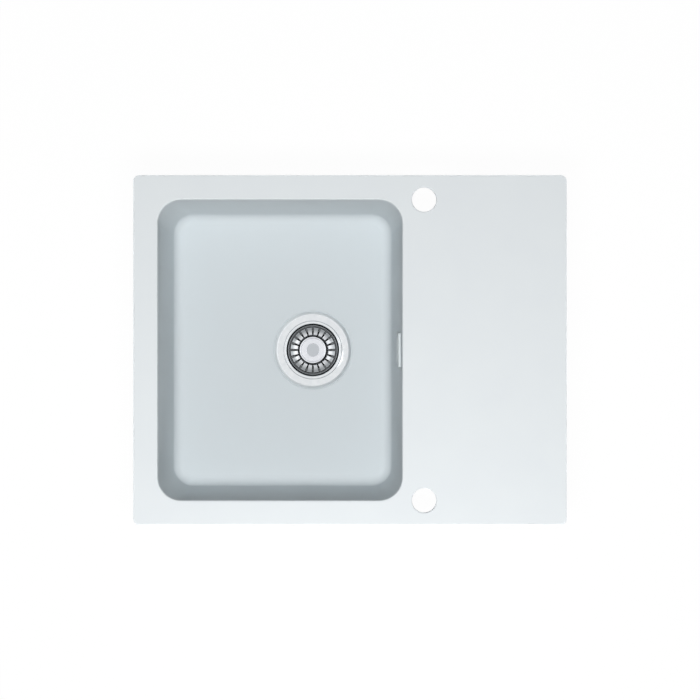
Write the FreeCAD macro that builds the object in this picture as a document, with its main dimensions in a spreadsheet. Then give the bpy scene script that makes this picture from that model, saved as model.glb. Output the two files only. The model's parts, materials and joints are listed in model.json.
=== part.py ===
import FreeCAD, Part
import math
import os

import Sketcher

# Kitchen sink with one bowl and a drainboard, moulded in one piece from quartz composite, with its
# strainer waste, overflow and worktop clamps.  Millimetres.  The origin is the centre of the worktop
# cut-out, in the plane of the worktop that the rim rests on.  +X runs towards the drainboard, +Y
# towards the wall and +Z up.

SIZES = {
    # deck, seen from above
    "sink_width": 620,
    "sink_length": 500,
    "deck_thick": 9,
    "deck_corner": 9,
    "deck_edge_round": 2,
    # bowl
    "bowl_margin": 35,
    "bowl_width": 350,
    "bowl_depth": 200,
    "bowl_corner": 34,
    "floor_corner": 30,
    "wall_thick": 8,
    "floor_thick": 9,
    "wall_slope": 3.7,
    "lip_round": 2,
    "floor_round": 16,
    "under_round": 24,
    # tap holes, one at the back and one at the front
    "tap_hole_radius": 17.5,
    "tap_hole_margin": 35,
    "tap_hole_to_bowl": 31,
    "tap_hole_round": 1.5,
    # underside of the deck
    "seal_inset": 3,
    "seal_width": 5,
    "seal_thick": 1.5,
    "seal_inner_corner": 2,
    "skirt_inset": 12,
    "skirt_thick": 4,
    "skirt_drop": 10,
    "skirt_corner": 14,
    "rib_thick": 6,
    "rib_drop": 10,
    "rib_spacing": 200,
    "cross_rib_inset": 120,
    "lug_width": 24,
    "lug_reach": 16,
    "lug_drop": 14,
    "lug_round": 3,
    # worktop clamps
    "clamp_inset": 18,
    "clamp_end_inset": 95,
    "insert_radius": 4,
    "insert_length": 10,
    "stud_radius": 2.5,
    "stud_grip": 9,
    "stud_reach": 66,
    "stud_chamfer": 0.6,
    "claw_thick": 2,
    "claw_width": 10,
    "claw_heel": 7,
    "claw_toe": 32,
    "claw_drop": 54,
    "claw_heel_height": 22,
    "claw_toe_height": 10,
    "claw_bend": 1,
    "claw_notch": 3,
    "claw_clearance": 0.3,
    "nut_flats": 8,
    "nut_height": 5,
    "nut_flange_radius": 6,
    "nut_flange_thick": 1.2,
    "thread_clearance": 0.05,
    # drain in the bowl floor
    "drain_to_side": 130,
    "drain_hole_radius": 45,
    "recess_radius": 58.5,
    "recess_depth": 2.5,
    "recess_round": 1.2,
    # strainer dish, pressed from sheet
    "sheet_thick": 1,
    "flange_radius": 57,
    "flange_slope_width": 3.5,
    "flange_slope_drop": 1.2,
    "flange_round": 1,
    "flange_rim_gap": 0.1,
    "lip_radius": 42.6,
    "dish_lip_rise": 0.7,
    "well_radius": 38.5,
    "well_depth": 36,
    "well_round": 5,
    "seat_radius": 23.5,
    "sump_depth": 4,
    "press_round": 1.2,
    "sump_hole_radius": 3.8,
    "sump_hole_circle": 14.5,
    "sump_hole_count": 8,
    "flange_seal_thick": 1.5,
    "flange_seal_radius": 52,
    # basket strainer
    "basket_clearance": 1,
    "basket_set_down": 2.5,
    "basket_sheet": 0.8,
    "basket_rim_width": 1.6,
    "basket_wall_depth": 12,
    "basket_cone_radius": 33.6,
    "basket_cup_lip": 2,
    "basket_floor_radius": 22,
    "basket_depth": 26,
    "slot_width": 1.6,
    "slot_count": 20,
    "slot_outer_radius": 33,
    "slot_inner_radius": 22.6,
    "knob_radius": 19.7,
    "knob_thick": 4.5,
    "knob_set_down": 1.5,
    "knob_rim_width": 1.6,
    "knob_dish": 0.8,
    "knob_badge_radius": 9.5,
    "knob_badge_rise": 0.5,
    "knob_neck_radius": 8,
    "knob_neck_length": 9,
    "knob_neck_flare": 2,
    "knob_round": 1.2,
    "knob_socket_depth": 4,
    "stem_radius": 4,
    "stem_collar_radius": 11,
    "stem_tip_radius": 3,
    "plug_radius": 27.5,
    "plug_thick": 3.5,
    "plug_clearance": 0.3,
    "plug_round": 1.4,
    "plug_hollow_radius": 9,
    "plug_hollow_depth": 1.9,
    "retainer_radius": 7,
    "retainer_thick": 0.8,
    # waste body under the bowl
    "body_seal_thick": 3,
    "body_seal_width": 8,
    "body_flange_thick": 5,
    "body_flange_radius": 54,
    "body_bore_radius": 43.5,
    "body_wall": 3.5,
    "body_cup_depth": 40,
    "body_cone_depth": 12,
    "outlet_radius": 23.9,
    "outlet_bore_radius": 20,
    "outlet_length": 40,
    "hub_radius": 8,
    "hub_rise": 3,
    "hub_length": 20,
    "spoke_thick": 4,
    "spoke_depth": 8,
    "spoke_root": 9,
    "spoke_count": 4,
    "hub_insert_radius": 5,
    "hub_insert_length": 16,
    "screw_radius": 3,
    "screw_length": 25,
    "screw_head_radius": 6,
    "screw_head_height": 2.4,
    "screw_slot_width": 1.4,
    "screw_slot_depth": 1.4,
    "screw_washer_radius": 8,
    "screw_washer_thick": 0.8,
    "screw_clearance": 0.3,
    # side spigot on the waste body
    "spigot_drop": 26,
    "spigot_radius": 15,
    "spigot_length": 26,
    "spigot_socket": 14,
    "cone_seal_radius": 16.5,
    "cone_seal_thick": 4,
    "spigot_nut_radius": 20,
    "spigot_nut_overlap": 14,
    "spigot_nut_cap": 3,
    "spigot_nut_lugs": 8,
    "spigot_nut_lug": 1.8,
    # overflow in the drainboard side of the bowl
    "overflow_drop": 52,
    "overflow_length": 44,
    "overflow_height": 12,
    "overflow_corner": 5,
    "overflow_edge_round": 4,
    "rosette_length": 50,
    "rosette_above": 22,
    "rosette_below": 11,
    "rosette_thick": 3.4,
    "rosette_corner": 4,
    "rosette_edge_round": 0.8,
    "rosette_opening_length": 38,
    "rosette_opening_corner": 1,
    "rosette_peg_length": 6,
    "rosette_peg_thick": 2.2,
    "rosette_peg_height": 5,
    "rosette_peg_clearance": 0.4,
    "boss_length": 86,
    "boss_height": 34,
    "boss_stand_off": 3,
    "boss_corner": 6,
    "overflow_seal_thick": 2,
    "overflow_seal_land": 3,
    "housing_plate_thick": 3,
    "housing_wall": 2,
    "housing_length": 56,
    "housing_height": 32,
    "housing_round": 3,
    "housing_screw_spacing": 72,
    "housing_screw_radius": 1.75,
    "housing_screw_depth": 8,
    "housing_screw_head_radius": 3.6,
    "housing_screw_head_height": 2.4,
    "housing_screw_clearance": 0.25,
    # overflow hose
    "hose_stand_off": 14.5,
    "hose_bore_radius": 9.5,
    "hose_root_radius": 11,
    "hose_crest_radius": 13,
    "hose_cuff_radius": 12,
    "hose_cuff_length": 26,
    "hose_bend_radius": 50,
    "hose_rib_pitch": 5,
    "hose_clearance": 0.05,
    "collar_radius": 12,
    "collar_length": 9,
    "stub_length": 20,
    "stub_bore_radius": 7.9,
    "clip_thick": 0.8,
    "clip_width": 8,
    "clip_drop": 8,
    "clip_block_length": 9,
    "clip_block_height": 5,
    "clip_screw_radius": 2.4,
    "clip_screw_length": 15,
}

LONG_CUT = "100"
ZERO = "0"

# edges of the deck and of the bowl opening, in the plane of the deck
LEFT = "(-dims.sink_width / 2)"
RIGHT = "(dims.sink_width / 2)"
FRONT = "(-dims.sink_length / 2)"
BACK = "(dims.sink_length / 2)"
BOWL_LEFT = f"({LEFT} + dims.bowl_margin)"
BOWL_RIGHT = f"({BOWL_LEFT} + dims.bowl_width)"
BOWL_FRONT = f"({FRONT} + dims.bowl_margin)"
BOWL_BACK = f"({BACK} - dims.bowl_margin)"

# heights
DECK_TOP = "dims.deck_thick"
FLOOR_TOP = "(dims.deck_thick - dims.bowl_depth)"
FLOOR_UNDER = f"({FLOOR_TOP} - dims.floor_thick)"
RECESS_FLOOR = f"({FLOOR_TOP} - dims.recess_depth)"
DISH_TOP = f"({RECESS_FLOOR} + dims.flange_seal_thick + dims.sheet_thick)"
WELL_FLOOR = f"({DISH_TOP} - dims.well_depth)"
SUMP_FLOOR = f"({WELL_FLOOR} - dims.sump_depth)"
BASKET_TOP = f"({DISH_TOP} - dims.basket_set_down)"
BASKET_FLOOR = f"({BASKET_TOP} - dims.basket_depth)"
CONE_TOP = f"({BASKET_TOP} - dims.basket_wall_depth)"
KNOB_TOP = f"({BASKET_TOP} - dims.knob_set_down)"
KNOB_UNDER = f"({KNOB_TOP} - dims.knob_thick)"
NECK_UNDER = f"({KNOB_UNDER} - dims.knob_neck_length)"
STEM_TOP = f"({NECK_UNDER} + dims.knob_socket_depth)"
PLUG_UNDER = f"({WELL_FLOOR} + dims.plug_clearance)"
PLUG_TOP = f"({PLUG_UNDER} + dims.plug_thick)"
BODY_TOP = f"({FLOOR_UNDER} - dims.body_seal_thick)"
CUP_UNDER = f"({BODY_TOP} - dims.body_cup_depth)"
CONE_UNDER = f"({CUP_UNDER} - dims.body_cone_depth)"
OUTLET_END = f"({CONE_UNDER} - dims.outlet_length)"
HUB_TOP = f"({CUP_UNDER} + dims.hub_rise)"
CLAW_TOP = "(-dims.claw_drop)"
CLAW_UNDER = f"({CLAW_TOP} - dims.claw_thick)"
OVERFLOW_HEIGHT = f"({DECK_TOP} - dims.overflow_drop)"
SPIGOT_HEIGHT = f"({FLOOR_UNDER} - dims.spigot_drop)"

# places along X
DRAIN_X = f"({BOWL_RIGHT} - dims.drain_to_side)"
TAP_HOLE_X = f"({BOWL_RIGHT} + dims.tap_hole_to_bowl)"
BOSS_FACE = f"({BOWL_RIGHT} + dims.wall_thick + dims.boss_stand_off)"
PLATE_BACK = f"({BOSS_FACE} + dims.overflow_seal_thick)"
PLATE_FACE = f"({PLATE_BACK} + dims.housing_plate_thick)"
HOSE_X = f"({BOSS_FACE} + dims.hose_stand_off)"
SPIGOT_START = f"({DRAIN_X} + dims.body_bore_radius + dims.body_wall)"
SPIGOT_END = f"({SPIGOT_START} + dims.spigot_length)"
HOSE_END = f"({SPIGOT_END} - dims.spigot_socket)"
SOCKET_RADIUS = "(dims.hose_cuff_radius + dims.hose_clearance)"

# radii of the basket's rim, its steep wall and its cone
BASKET_RIM = "(dims.well_radius - dims.basket_clearance)"
WALL_INNER = f"({BASKET_RIM} - dims.basket_rim_width)"
WALL_OUTER = f"({WALL_INNER} + dims.basket_sheet / 2)"
CONE_OUTER = "(dims.basket_cone_radius + dims.basket_sheet)"

# the hose hangs from the housing's collar
HOUSING_UNDER = f"({OVERFLOW_HEIGHT} - dims.housing_height / 2)"
HOSE_TOP = f"({HOUSING_UNDER} - dims.collar_length)"

# clamp studs: place on each side and the direction out to the worktop, in degrees
CLAMP_LEFT = f"({LEFT} + dims.clamp_inset)"
CLAMP_RIGHT = f"({RIGHT} - dims.clamp_inset)"
CLAMP_FRONT = f"({FRONT} + dims.clamp_inset)"
CLAMP_BACK = f"({BACK} - dims.clamp_inset)"
FIRST_ALONG = f"({LEFT} + dims.clamp_end_inset)"
LAST_ALONG = f"({RIGHT} - dims.clamp_end_inset)"
OUT_RIGHT, OUT_BACK, OUT_LEFT, OUT_FRONT = 0, 90, 180, 270
CLAMPS = [
    (FIRST_ALONG, CLAMP_FRONT, OUT_FRONT),
    (ZERO, CLAMP_FRONT, OUT_FRONT),
    (LAST_ALONG, CLAMP_FRONT, OUT_FRONT),
    (CLAMP_RIGHT, ZERO, OUT_RIGHT),
    (LAST_ALONG, CLAMP_BACK, OUT_BACK),
    (ZERO, CLAMP_BACK, OUT_BACK),
    (FIRST_ALONG, CLAMP_BACK, OUT_BACK),
    (CLAMP_LEFT, ZERO, OUT_LEFT),
]

# one rib of the hose: share of the pitch and radius there
HOSE_RIB = [
    (0.15, "dims.hose_root_radius"),
    (0.4, "dims.hose_root_radius"),
    (0.6, "dims.hose_crest_radius"),
    (0.95, "dims.hose_crest_radius"),
]

FULL_TURN = 360
QUARTER_TURN = 90
HEX_SIDES = 6
TINY = 1e-4

Vector = FreeCAD.Vector
Constraint = Sketcher.Constraint

doc = FreeCAD.newDocument("sink_with_drainboard")
dims = doc.addObject("Spreadsheet::Sheet", "dims")
for row, (alias, value) in enumerate(SIZES.items(), start=1):
    dims.set(f"A{row}", alias)
    dims.set(f"B{row}", str(value))
    dims.setAlias(f"B{row}", alias)
doc.recompute()

nodes = []


# --- helpers -------------------------------------------------------------------------------------


def number(expression):
    """The value of an expression over the sheet."""
    value = dims.evalExpression(expression)
    return float(getattr(value, "Value", value))


def new_body(label, x=ZERO, y=ZERO, z=ZERO, turn=0):
    """An empty body at a place bound to the sheet, turned about Z."""
    body = doc.addObject("PartDesign::Body", label)
    body.Label = label
    body.Placement.Rotation = FreeCAD.Rotation(Vector(0, 0, 1), turn)
    for axis, place in zip("xyz", (x, y, z)):
        body.setExpression(f"Placement.Base.{axis}", place)
    nodes.append(body)
    return body


def new_sketch(body, name, plane="XY_Plane", offset=ZERO):
    """A sketch on one of the body's own planes, moved along the plane's normal."""
    support = next(item for item in body.Origin.OriginFeatures if item.Role == plane)
    sketch = body.newObject("Sketcher::SketchObject", f"{body.Name}_{name}")
    sketch.AttachmentSupport = [(support, "")]
    sketch.MapMode = "FlatFace"
    sketch.setExpression("AttachmentOffset.Base.z", offset)
    return sketch


def bound(kind, expression, *where):
    """A constraint with the expression that its value follows."""
    return Constraint(kind, *where, number(expression)), expression


def bound_point(geometry, end, x, y):
    """Ties a point of a sketch to its two coordinates."""
    return [bound("DistanceX", x, -1, 1, geometry, end), bound("DistanceY", y, -1, 1, geometry, end)]


def constrain(sketch, rules):
    """Adds constraints together, then binds those that follow an expression."""
    indices = sketch.addConstraint([rule for rule, expression in rules])
    for index, (rule, expression) in zip(indices, rules):
        if expression:
            sketch.setExpression(f"Constraints[{index}]", expression)


def corner_arc(before, corner, after, radius):
    """The arc that rounds a corner, and whether it runs the same way round as the outline."""
    back = (before - corner).normalize()
    ahead = (after - corner).normalize()
    half = back.getAngle(ahead) / 2
    middle = corner + (back + ahead).normalize() * (radius / math.sin(half))
    ends = [corner + side * (radius / math.tan(half)) for side in (back, ahead)]
    forward = (corner - before).cross(after - corner).z > 0
    if not forward:
        ends.reverse()
    angles = [math.atan2(end.y - middle.y, end.x - middle.x) for end in ends]
    circle = Part.Circle(middle, Vector(0, 0, 1), radius)
    return Part.ArcOfCircle(circle, angles[0], angles[1]), forward


def outline(sketch, corners):
    """A closed outline, anticlockwise.  A corner is (x, y), or (x, y, rounding)."""
    places = [Vector(number(corner[0]), number(corner[1]), 0) for corner in corners]
    count = len(corners)
    sides = []
    for index, place in enumerate(places):
        line = Part.LineSegment(place, places[(index + 1) % count])
        sides.append(sketch.addGeometry(line, False))
    rules = []
    for index, corner in enumerate(corners):
        before, after = sides[index - 1], sides[index]
        if len(corner) == 2:
            rules.append((Constraint("Coincident", before, 2, after, 1), None))
            rules.extend(bound_point(after, 1, corner[0], corner[1]))
            continue
        neighbours = (places[index - 1], places[index], places[(index + 1) % count])
        arc, forward = corner_arc(*neighbours, number(corner[2]))
        rounding = sketch.addGeometry(arc, False)
        point = sketch.addGeometry(Part.Point(places[index]), True)
        first, last = (1, 2) if forward else (2, 1)
        rules.extend(bound_point(point, 1, corner[0], corner[1]))
        rules.append((Constraint("Tangent", before, 2, rounding, first), None))
        rules.append((Constraint("Tangent", rounding, last, after, 1), None))
        rules.append((Constraint("PointOnObject", point, 1, before), None))
        rules.append((Constraint("PointOnObject", point, 1, after), None))
        rules.append(bound("Radius", corner[2], rounding))
    constrain(sketch, rules)


def box_outline(sketch, left, right, front, back, corner=None):
    """A rectangle, with rounded corners where a radius is given."""
    rounding = (corner,) if corner else ()
    places = [(left, front), (right, front), (right, back), (left, back)]
    outline(sketch, [place + rounding for place in places])


def circle(sketch, x, y, radius):
    """A full circle."""
    shape = Part.Circle(Vector(number(x), number(y), 0), Vector(0, 0, 1), number(radius))
    index = sketch.addGeometry(shape, False)
    constrain(sketch, bound_point(index, 3, x, y) + [bound("Radius", radius, index)])


def grow(body, sketch, length, name, reverse=False, middle=False):
    """A pad along the sketch's normal, against it, or to both sides of it."""
    pad = body.newObject("PartDesign::Pad", f"{body.Name}_{name}")
    pad.Profile = sketch
    pad.setExpression("Length", length)
    pad.Reversed = reverse
    pad.Midplane = middle
    doc.recompute()
    return pad


def cut(body, sketch, length, name, reverse=False, middle=False):
    """A pocket against the sketch's normal, along it, or to both sides of it."""
    before = body.Shape.Volume
    pocket = body.newObject("PartDesign::Pocket", f"{body.Name}_{name}")
    pocket.Profile = sketch
    pocket.setExpression("Length", length)
    pocket.Reversed = reverse
    pocket.Midplane = middle
    doc.recompute()
    check_removed(pocket, before)
    return pocket


def turn(body, sketch, name, axis="V_Axis"):
    """A solid turned about an axis of its sketch."""
    feature = body.newObject("PartDesign::Revolution", f"{body.Name}_{name}")
    feature.Profile = sketch
    feature.ReferenceAxis = (sketch, [axis])
    feature.Angle = FULL_TURN
    doc.recompute()
    return feature


def loft(body, first, last, name, kind):
    """Straight walls between two sketches, added or taken away."""
    feature = body.newObject(f"PartDesign::{kind}Loft", f"{body.Name}_{name}")
    feature.Profile = first
    feature.Sections = [last]
    feature.Ruled = True
    doc.recompute()
    return feature


def ring_of(body, feature, count, sketch, name):
    """Repeats a feature round the normal axis of its sketch."""
    pattern = body.newObject("PartDesign::PolarPattern", f"{body.Name}_{name}")
    pattern.Originals = [feature]
    pattern.Axis = (sketch, ["N_Axis"])
    pattern.Angle = FULL_TURN
    pattern.setExpression("Occurrences", count)
    body.Tip = pattern
    doc.recompute()
    return pattern


def edges_where(shape, test):
    """Names of the edges that pass a test."""
    return [f"Edge{index}" for index, edge in enumerate(shape.Edges, start=1) if test(edge)]


def round_edges(body, test, radius, name, kind="Fillet"):
    """Fillets or chamfers the edges of the body's last feature that pass a test."""
    base = body.Tip
    feature = body.newObject(f"PartDesign::{kind}", f"{body.Name}_{name}")
    feature.Base = (base, edges_where(base.Shape, test))
    feature.setExpression("Radius" if kind == "Fillet" else "Size", radius)
    doc.recompute()
    return feature


def check_removed(feature, before):
    """Stops where a cut takes nothing away."""
    if feature.Shape.Volume > before - TINY:
        raise ValueError(f"{feature.Name} cuts nothing")


def level(edge, height):
    """Whether an edge lies at one height."""
    box = edge.BoundBox
    return abs(box.ZMin - number(height)) < TINY and abs(box.ZMax - number(height)) < TINY


def inside(edge, left, right, front, back):
    """Whether an edge lies within a rectangle seen from above."""
    box = edge.BoundBox
    across = box.XMin > number(left) - TINY and box.XMax < number(right) + TINY
    return across and box.YMin > number(front) - TINY and box.YMax < number(back) + TINY


def round_at(edge, radius):
    """Whether an edge is part of a circle of a radius."""
    curve = edge.Curve
    return isinstance(curve, Part.Circle) and abs(curve.Radius - number(radius)) < TINY


# --- sink ----------------------------------------------------------------------------------------


def make_sink_body():
    """Deck, bowl and underside ribs, one moulding."""
    body = new_body("sink_body")
    deck = new_sketch(body, "deck")
    box_outline(deck, LEFT, RIGHT, FRONT, BACK, "dims.deck_corner")
    grow(body, deck, "dims.deck_thick", "deck_pad")
    add_underside(body)
    cut_seal_groove(body)
    cut_tap_holes(body)
    add_bowl_outside(body)
    add_overflow_boss(body)
    cut_bowl(body)
    cut_drain(body)
    cut_overflow(body)
    round_deck(body)


def bowl_outline(body, name, height, grown, sunk, corner):
    """The bowl's plan at a height: grown by the wall and drawn in by the slope below the deck."""
    inset = f"({grown} - ({sunk}) * tan(dims.wall_slope))"
    sketch = new_sketch(body, name, offset=height)
    box_outline(
        sketch,
        f"{BOWL_LEFT} - {inset}",
        f"{BOWL_RIGHT} + {inset}",
        f"{BOWL_FRONT} - {inset}",
        f"{BOWL_BACK} + {inset}",
        corner,
    )
    return sketch


def add_bowl_outside(body):
    """The bowl's outer wall, rounded under the floor."""
    wall = "dims.wall_thick"
    top = bowl_outline(body, "outside_top", ZERO, wall, DECK_TOP, f"dims.bowl_corner + {wall}")
    sunk = "dims.bowl_depth + dims.floor_thick"
    low = bowl_outline(body, "outside_low", FLOOR_UNDER, wall, sunk, f"dims.floor_corner + {wall}")
    loft(body, top, low, "outside", "Additive")
    round_edges(body, lambda edge: level(edge, FLOOR_UNDER), "dims.under_round", "under_round")


def add_overflow_boss(body):
    """A flat pad outside the bowl wall, for the overflow housing."""
    sketch = new_sketch(body, "boss", "YZ_Plane", BOSS_FACE)
    box_outline(
        sketch,
        "-dims.boss_length / 2",
        "dims.boss_length / 2",
        f"{OVERFLOW_HEIGHT} - dims.boss_height / 2",
        f"{OVERFLOW_HEIGHT} + dims.boss_height / 2",
        "dims.boss_corner",
    )
    depth = "dims.boss_stand_off + dims.wall_thick * 2"
    grow(body, sketch, depth, "boss_pad", reverse=True)


def add_underside(body):
    """Skirt inside the cut-out, drainboard ribs and the clamp lugs with their insert holes."""
    skirt = new_sketch(body, "skirt")
    inner = "(dims.skirt_inset + dims.skirt_thick)"
    for inset, corner in (
        ("dims.skirt_inset", "dims.skirt_corner"),
        (inner, "dims.skirt_corner - dims.skirt_thick"),
    ):
        box_outline(
            skirt,
            f"{LEFT} + {inset}",
            f"{RIGHT} - {inset}",
            f"{FRONT} + {inset}",
            f"{BACK} - {inset}",
            corner,
        )
    grow(body, skirt, "dims.skirt_drop", "skirt_pad", reverse=True)

    half = "dims.rib_thick / 2"
    for index, side in enumerate(("-", "+"), start=1):
        rib = new_sketch(body, f"rib_{index}")
        middle = f"({side}dims.rib_spacing / 2)"
        start = f"{BOWL_RIGHT} + dims.wall_thick / 2"
        end = f"{RIGHT} - dims.skirt_inset - dims.skirt_thick / 2"
        box_outline(rib, start, end, f"{middle} - {half}", f"{middle} + {half}")
        grow(body, rib, "dims.rib_drop", f"rib_pad_{index}", reverse=True)
    cross = new_sketch(body, "cross_rib")
    middle = f"({RIGHT} - dims.cross_rib_inset)"
    reach = "(dims.skirt_inset + dims.skirt_thick / 2)"
    sides = (f"{middle} - {half}", f"{middle} + {half}")
    box_outline(cross, *sides, f"{FRONT} + {reach}", f"{BACK} - {reach}")
    grow(body, cross, "dims.rib_drop", "cross_rib_pad", reverse=True)

    for index, (x, y, outward) in enumerate(CLAMPS, start=1):
        lug = new_sketch(body, f"lug_{index}")
        lug_outline(lug, x, y, outward)
        grow(body, lug, "dims.lug_drop", f"lug_pad_{index}", reverse=True)
    holes = new_sketch(body, "insert_holes", offset="-dims.lug_drop")
    for x, y, outward in CLAMPS:
        circle(holes, x, y, "dims.insert_radius")
    cut(body, holes, "dims.insert_length", "insert_cut", reverse=True)


def lug_outline(sketch, x, y, outward):
    """One lug, from the skirt's outer face inwards, across the clamp's stud."""
    outer = "(dims.clamp_inset - dims.skirt_inset)"
    inner = f"(dims.lug_reach - {outer})"
    half = "dims.lug_width / 2"
    reach = {
        OUT_RIGHT: (inner, outer, half, half),
        OUT_LEFT: (outer, inner, half, half),
        OUT_FRONT: (half, half, outer, inner),
        OUT_BACK: (half, half, inner, outer),
    }[outward]
    sides = (f"{x} - {reach[0]}", f"{x} + {reach[1]}", f"{y} - {reach[2]}", f"{y} + {reach[3]}")
    box_outline(sketch, *sides, "dims.lug_round")


def cut_bowl(body):
    """The bowl's inside, with a rounded floor."""
    top = bowl_outline(body, "inside_top", DECK_TOP, ZERO, ZERO, "dims.bowl_corner")
    low = bowl_outline(body, "inside_low", FLOOR_TOP, ZERO, "dims.bowl_depth", "dims.floor_corner")
    loft(body, top, low, "inside", "Subtractive")
    round_edges(body, lambda edge: level(edge, FLOOR_TOP), "dims.floor_round", "floor_round")


def cut_drain(body):
    """The drain hole and the shallow recess that its flange lies in."""
    recess = new_sketch(body, "recess", offset=FLOOR_TOP)
    circle(recess, DRAIN_X, ZERO, "dims.recess_radius")
    cut(body, recess, "dims.recess_depth", "recess_cut")
    hole = new_sketch(body, "drain_hole", offset=FLOOR_TOP)
    circle(hole, DRAIN_X, ZERO, "dims.drain_hole_radius")
    cut(body, hole, LONG_CUT, "drain_cut")

    def at_recess(edge):
        return level(edge, FLOOR_TOP) and round_at(edge, "dims.recess_radius")

    round_edges(body, at_recess, "dims.recess_round", "recess_round")


def overflow_outline(sketch, grown=ZERO):
    """The overflow slot seen along X."""
    half = f"(dims.overflow_length / 2 + {grown})"
    rise = f"(dims.overflow_height / 2 + {grown})"
    low, high = f"{OVERFLOW_HEIGHT} - {rise}", f"{OVERFLOW_HEIGHT} + {rise}"
    box_outline(sketch, f"-{half}", half, low, high, "dims.overflow_corner")


def screw_places():
    """The two places of the housing screws, along Y."""
    return ["(-dims.housing_screw_spacing / 2)", "(dims.housing_screw_spacing / 2)"]


def cut_overflow(body):
    """The slot through the bowl wall and the two screw holes in the boss."""
    slot = new_sketch(body, "slot", "YZ_Plane", BOSS_FACE)
    overflow_outline(slot)
    depth = "dims.boss_stand_off + dims.wall_thick * 3"
    cut(body, slot, depth, "slot_cut")
    screws = new_sketch(body, "screw_holes", "YZ_Plane", BOSS_FACE)
    for y in screw_places():
        circle(screws, y, OVERFLOW_HEIGHT, "dims.housing_screw_radius")
    cut(body, screws, "dims.housing_screw_depth", "screw_cut")

    half = "(dims.overflow_length / 2)"

    def at_slot(edge):
        box = edge.BoundBox
        spread = abs(edge.CenterOfMass.z - number(OVERFLOW_HEIGHT))
        near = box.XMax < number(BOWL_RIGHT) and box.XMin > number(f"{BOWL_RIGHT} - dims.wall_thick")
        across = inside(edge, BOWL_LEFT, BOWL_RIGHT, f"-{half}", half)
        return near and across and spread < number("dims.overflow_height / 2") + TINY

    round_edges(body, at_slot, "dims.overflow_edge_round", "slot_round")


def cut_tap_holes(body):
    """Two tap holes through the deck, rounded at the top."""
    holes = new_sketch(body, "tap_holes", offset=DECK_TOP)
    for y in (f"({FRONT} + dims.tap_hole_margin)", f"({BACK} - dims.tap_hole_margin)"):
        circle(holes, TAP_HOLE_X, y, "dims.tap_hole_radius")
    cut(body, holes, "dims.deck_thick", "tap_hole_cut")

    def at_top(edge):
        return level(edge, DECK_TOP) and round_at(edge, "dims.tap_hole_radius")

    round_edges(body, at_top, "dims.tap_hole_round", "tap_hole_round")


def seal_outlines(sketch):
    """The sealing strip's ring, a little inside the deck's edge."""
    inner = "(dims.seal_inset + dims.seal_width)"
    for inset, corner in (
        ("dims.seal_inset", "dims.deck_corner - dims.seal_inset"),
        (inner, "dims.seal_inner_corner"),
    ):
        box_outline(
            sketch,
            f"{LEFT} + {inset}",
            f"{RIGHT} - {inset}",
            f"{FRONT} + {inset}",
            f"{BACK} - {inset}",
            corner,
        )


def cut_seal_groove(body):
    """The groove under the rim that holds the sealing strip."""
    groove = new_sketch(body, "seal_groove")
    seal_outlines(groove)
    cut(body, groove, "dims.seal_thick", "seal_cut", reverse=True)


def round_deck(body):
    """The deck's top edge and the bowl's lip."""

    def outer(edge):
        return level(edge, DECK_TOP) and not inside(edge, BOWL_LEFT, RIGHT, BOWL_FRONT, BOWL_BACK)

    def on_deck_edge(edge):
        return outer(edge) and not round_at(edge, "dims.tap_hole_radius + dims.tap_hole_round")

    round_edges(body, on_deck_edge, "dims.deck_edge_round", "deck_round")

    def lip(edge):
        return level(edge, DECK_TOP) and inside(edge, BOWL_LEFT, BOWL_RIGHT, BOWL_FRONT, BOWL_BACK)

    round_edges(body, lip, "dims.lip_round", "lip_round")


def make_rim_seal():
    """The foam strip in the groove, flush with the rim."""
    body = new_body("rim_seal")
    ring = new_sketch(body, "ring")
    seal_outlines(ring)
    grow(body, ring, "dims.seal_thick", "strip")


# --- worktop clamps ------------------------------------------------------------------------------


def make_clamp_inserts():
    """Threaded inserts in the lugs, eight alike."""
    body = new_body("clamp_inserts")
    body.AllowCompound = True
    rings = new_sketch(body, "rings", offset="-dims.lug_drop")
    for x, y, outward in CLAMPS:
        circle(rings, x, y, "dims.insert_radius")
        circle(rings, x, y, "dims.stud_radius")
    grow(body, rings, "dims.insert_length", "sleeves")


def make_clamp_studs():
    """Studs that hang from the inserts, eight alike."""
    body = new_body("clamp_studs")
    body.AllowCompound = True
    rods = new_sketch(body, "rods", offset="-dims.stud_reach")
    for x, y, outward in CLAMPS:
        circle(rods, x, y, "dims.stud_radius")
    length = "dims.stud_reach - dims.lug_drop + dims.stud_grip"
    grow(body, rods, length, "rods_pad")
    round_edges(body, lambda edge: level(edge, "-dims.stud_reach"), "dims.stud_chamfer", "ends", "Chamfer")


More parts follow.
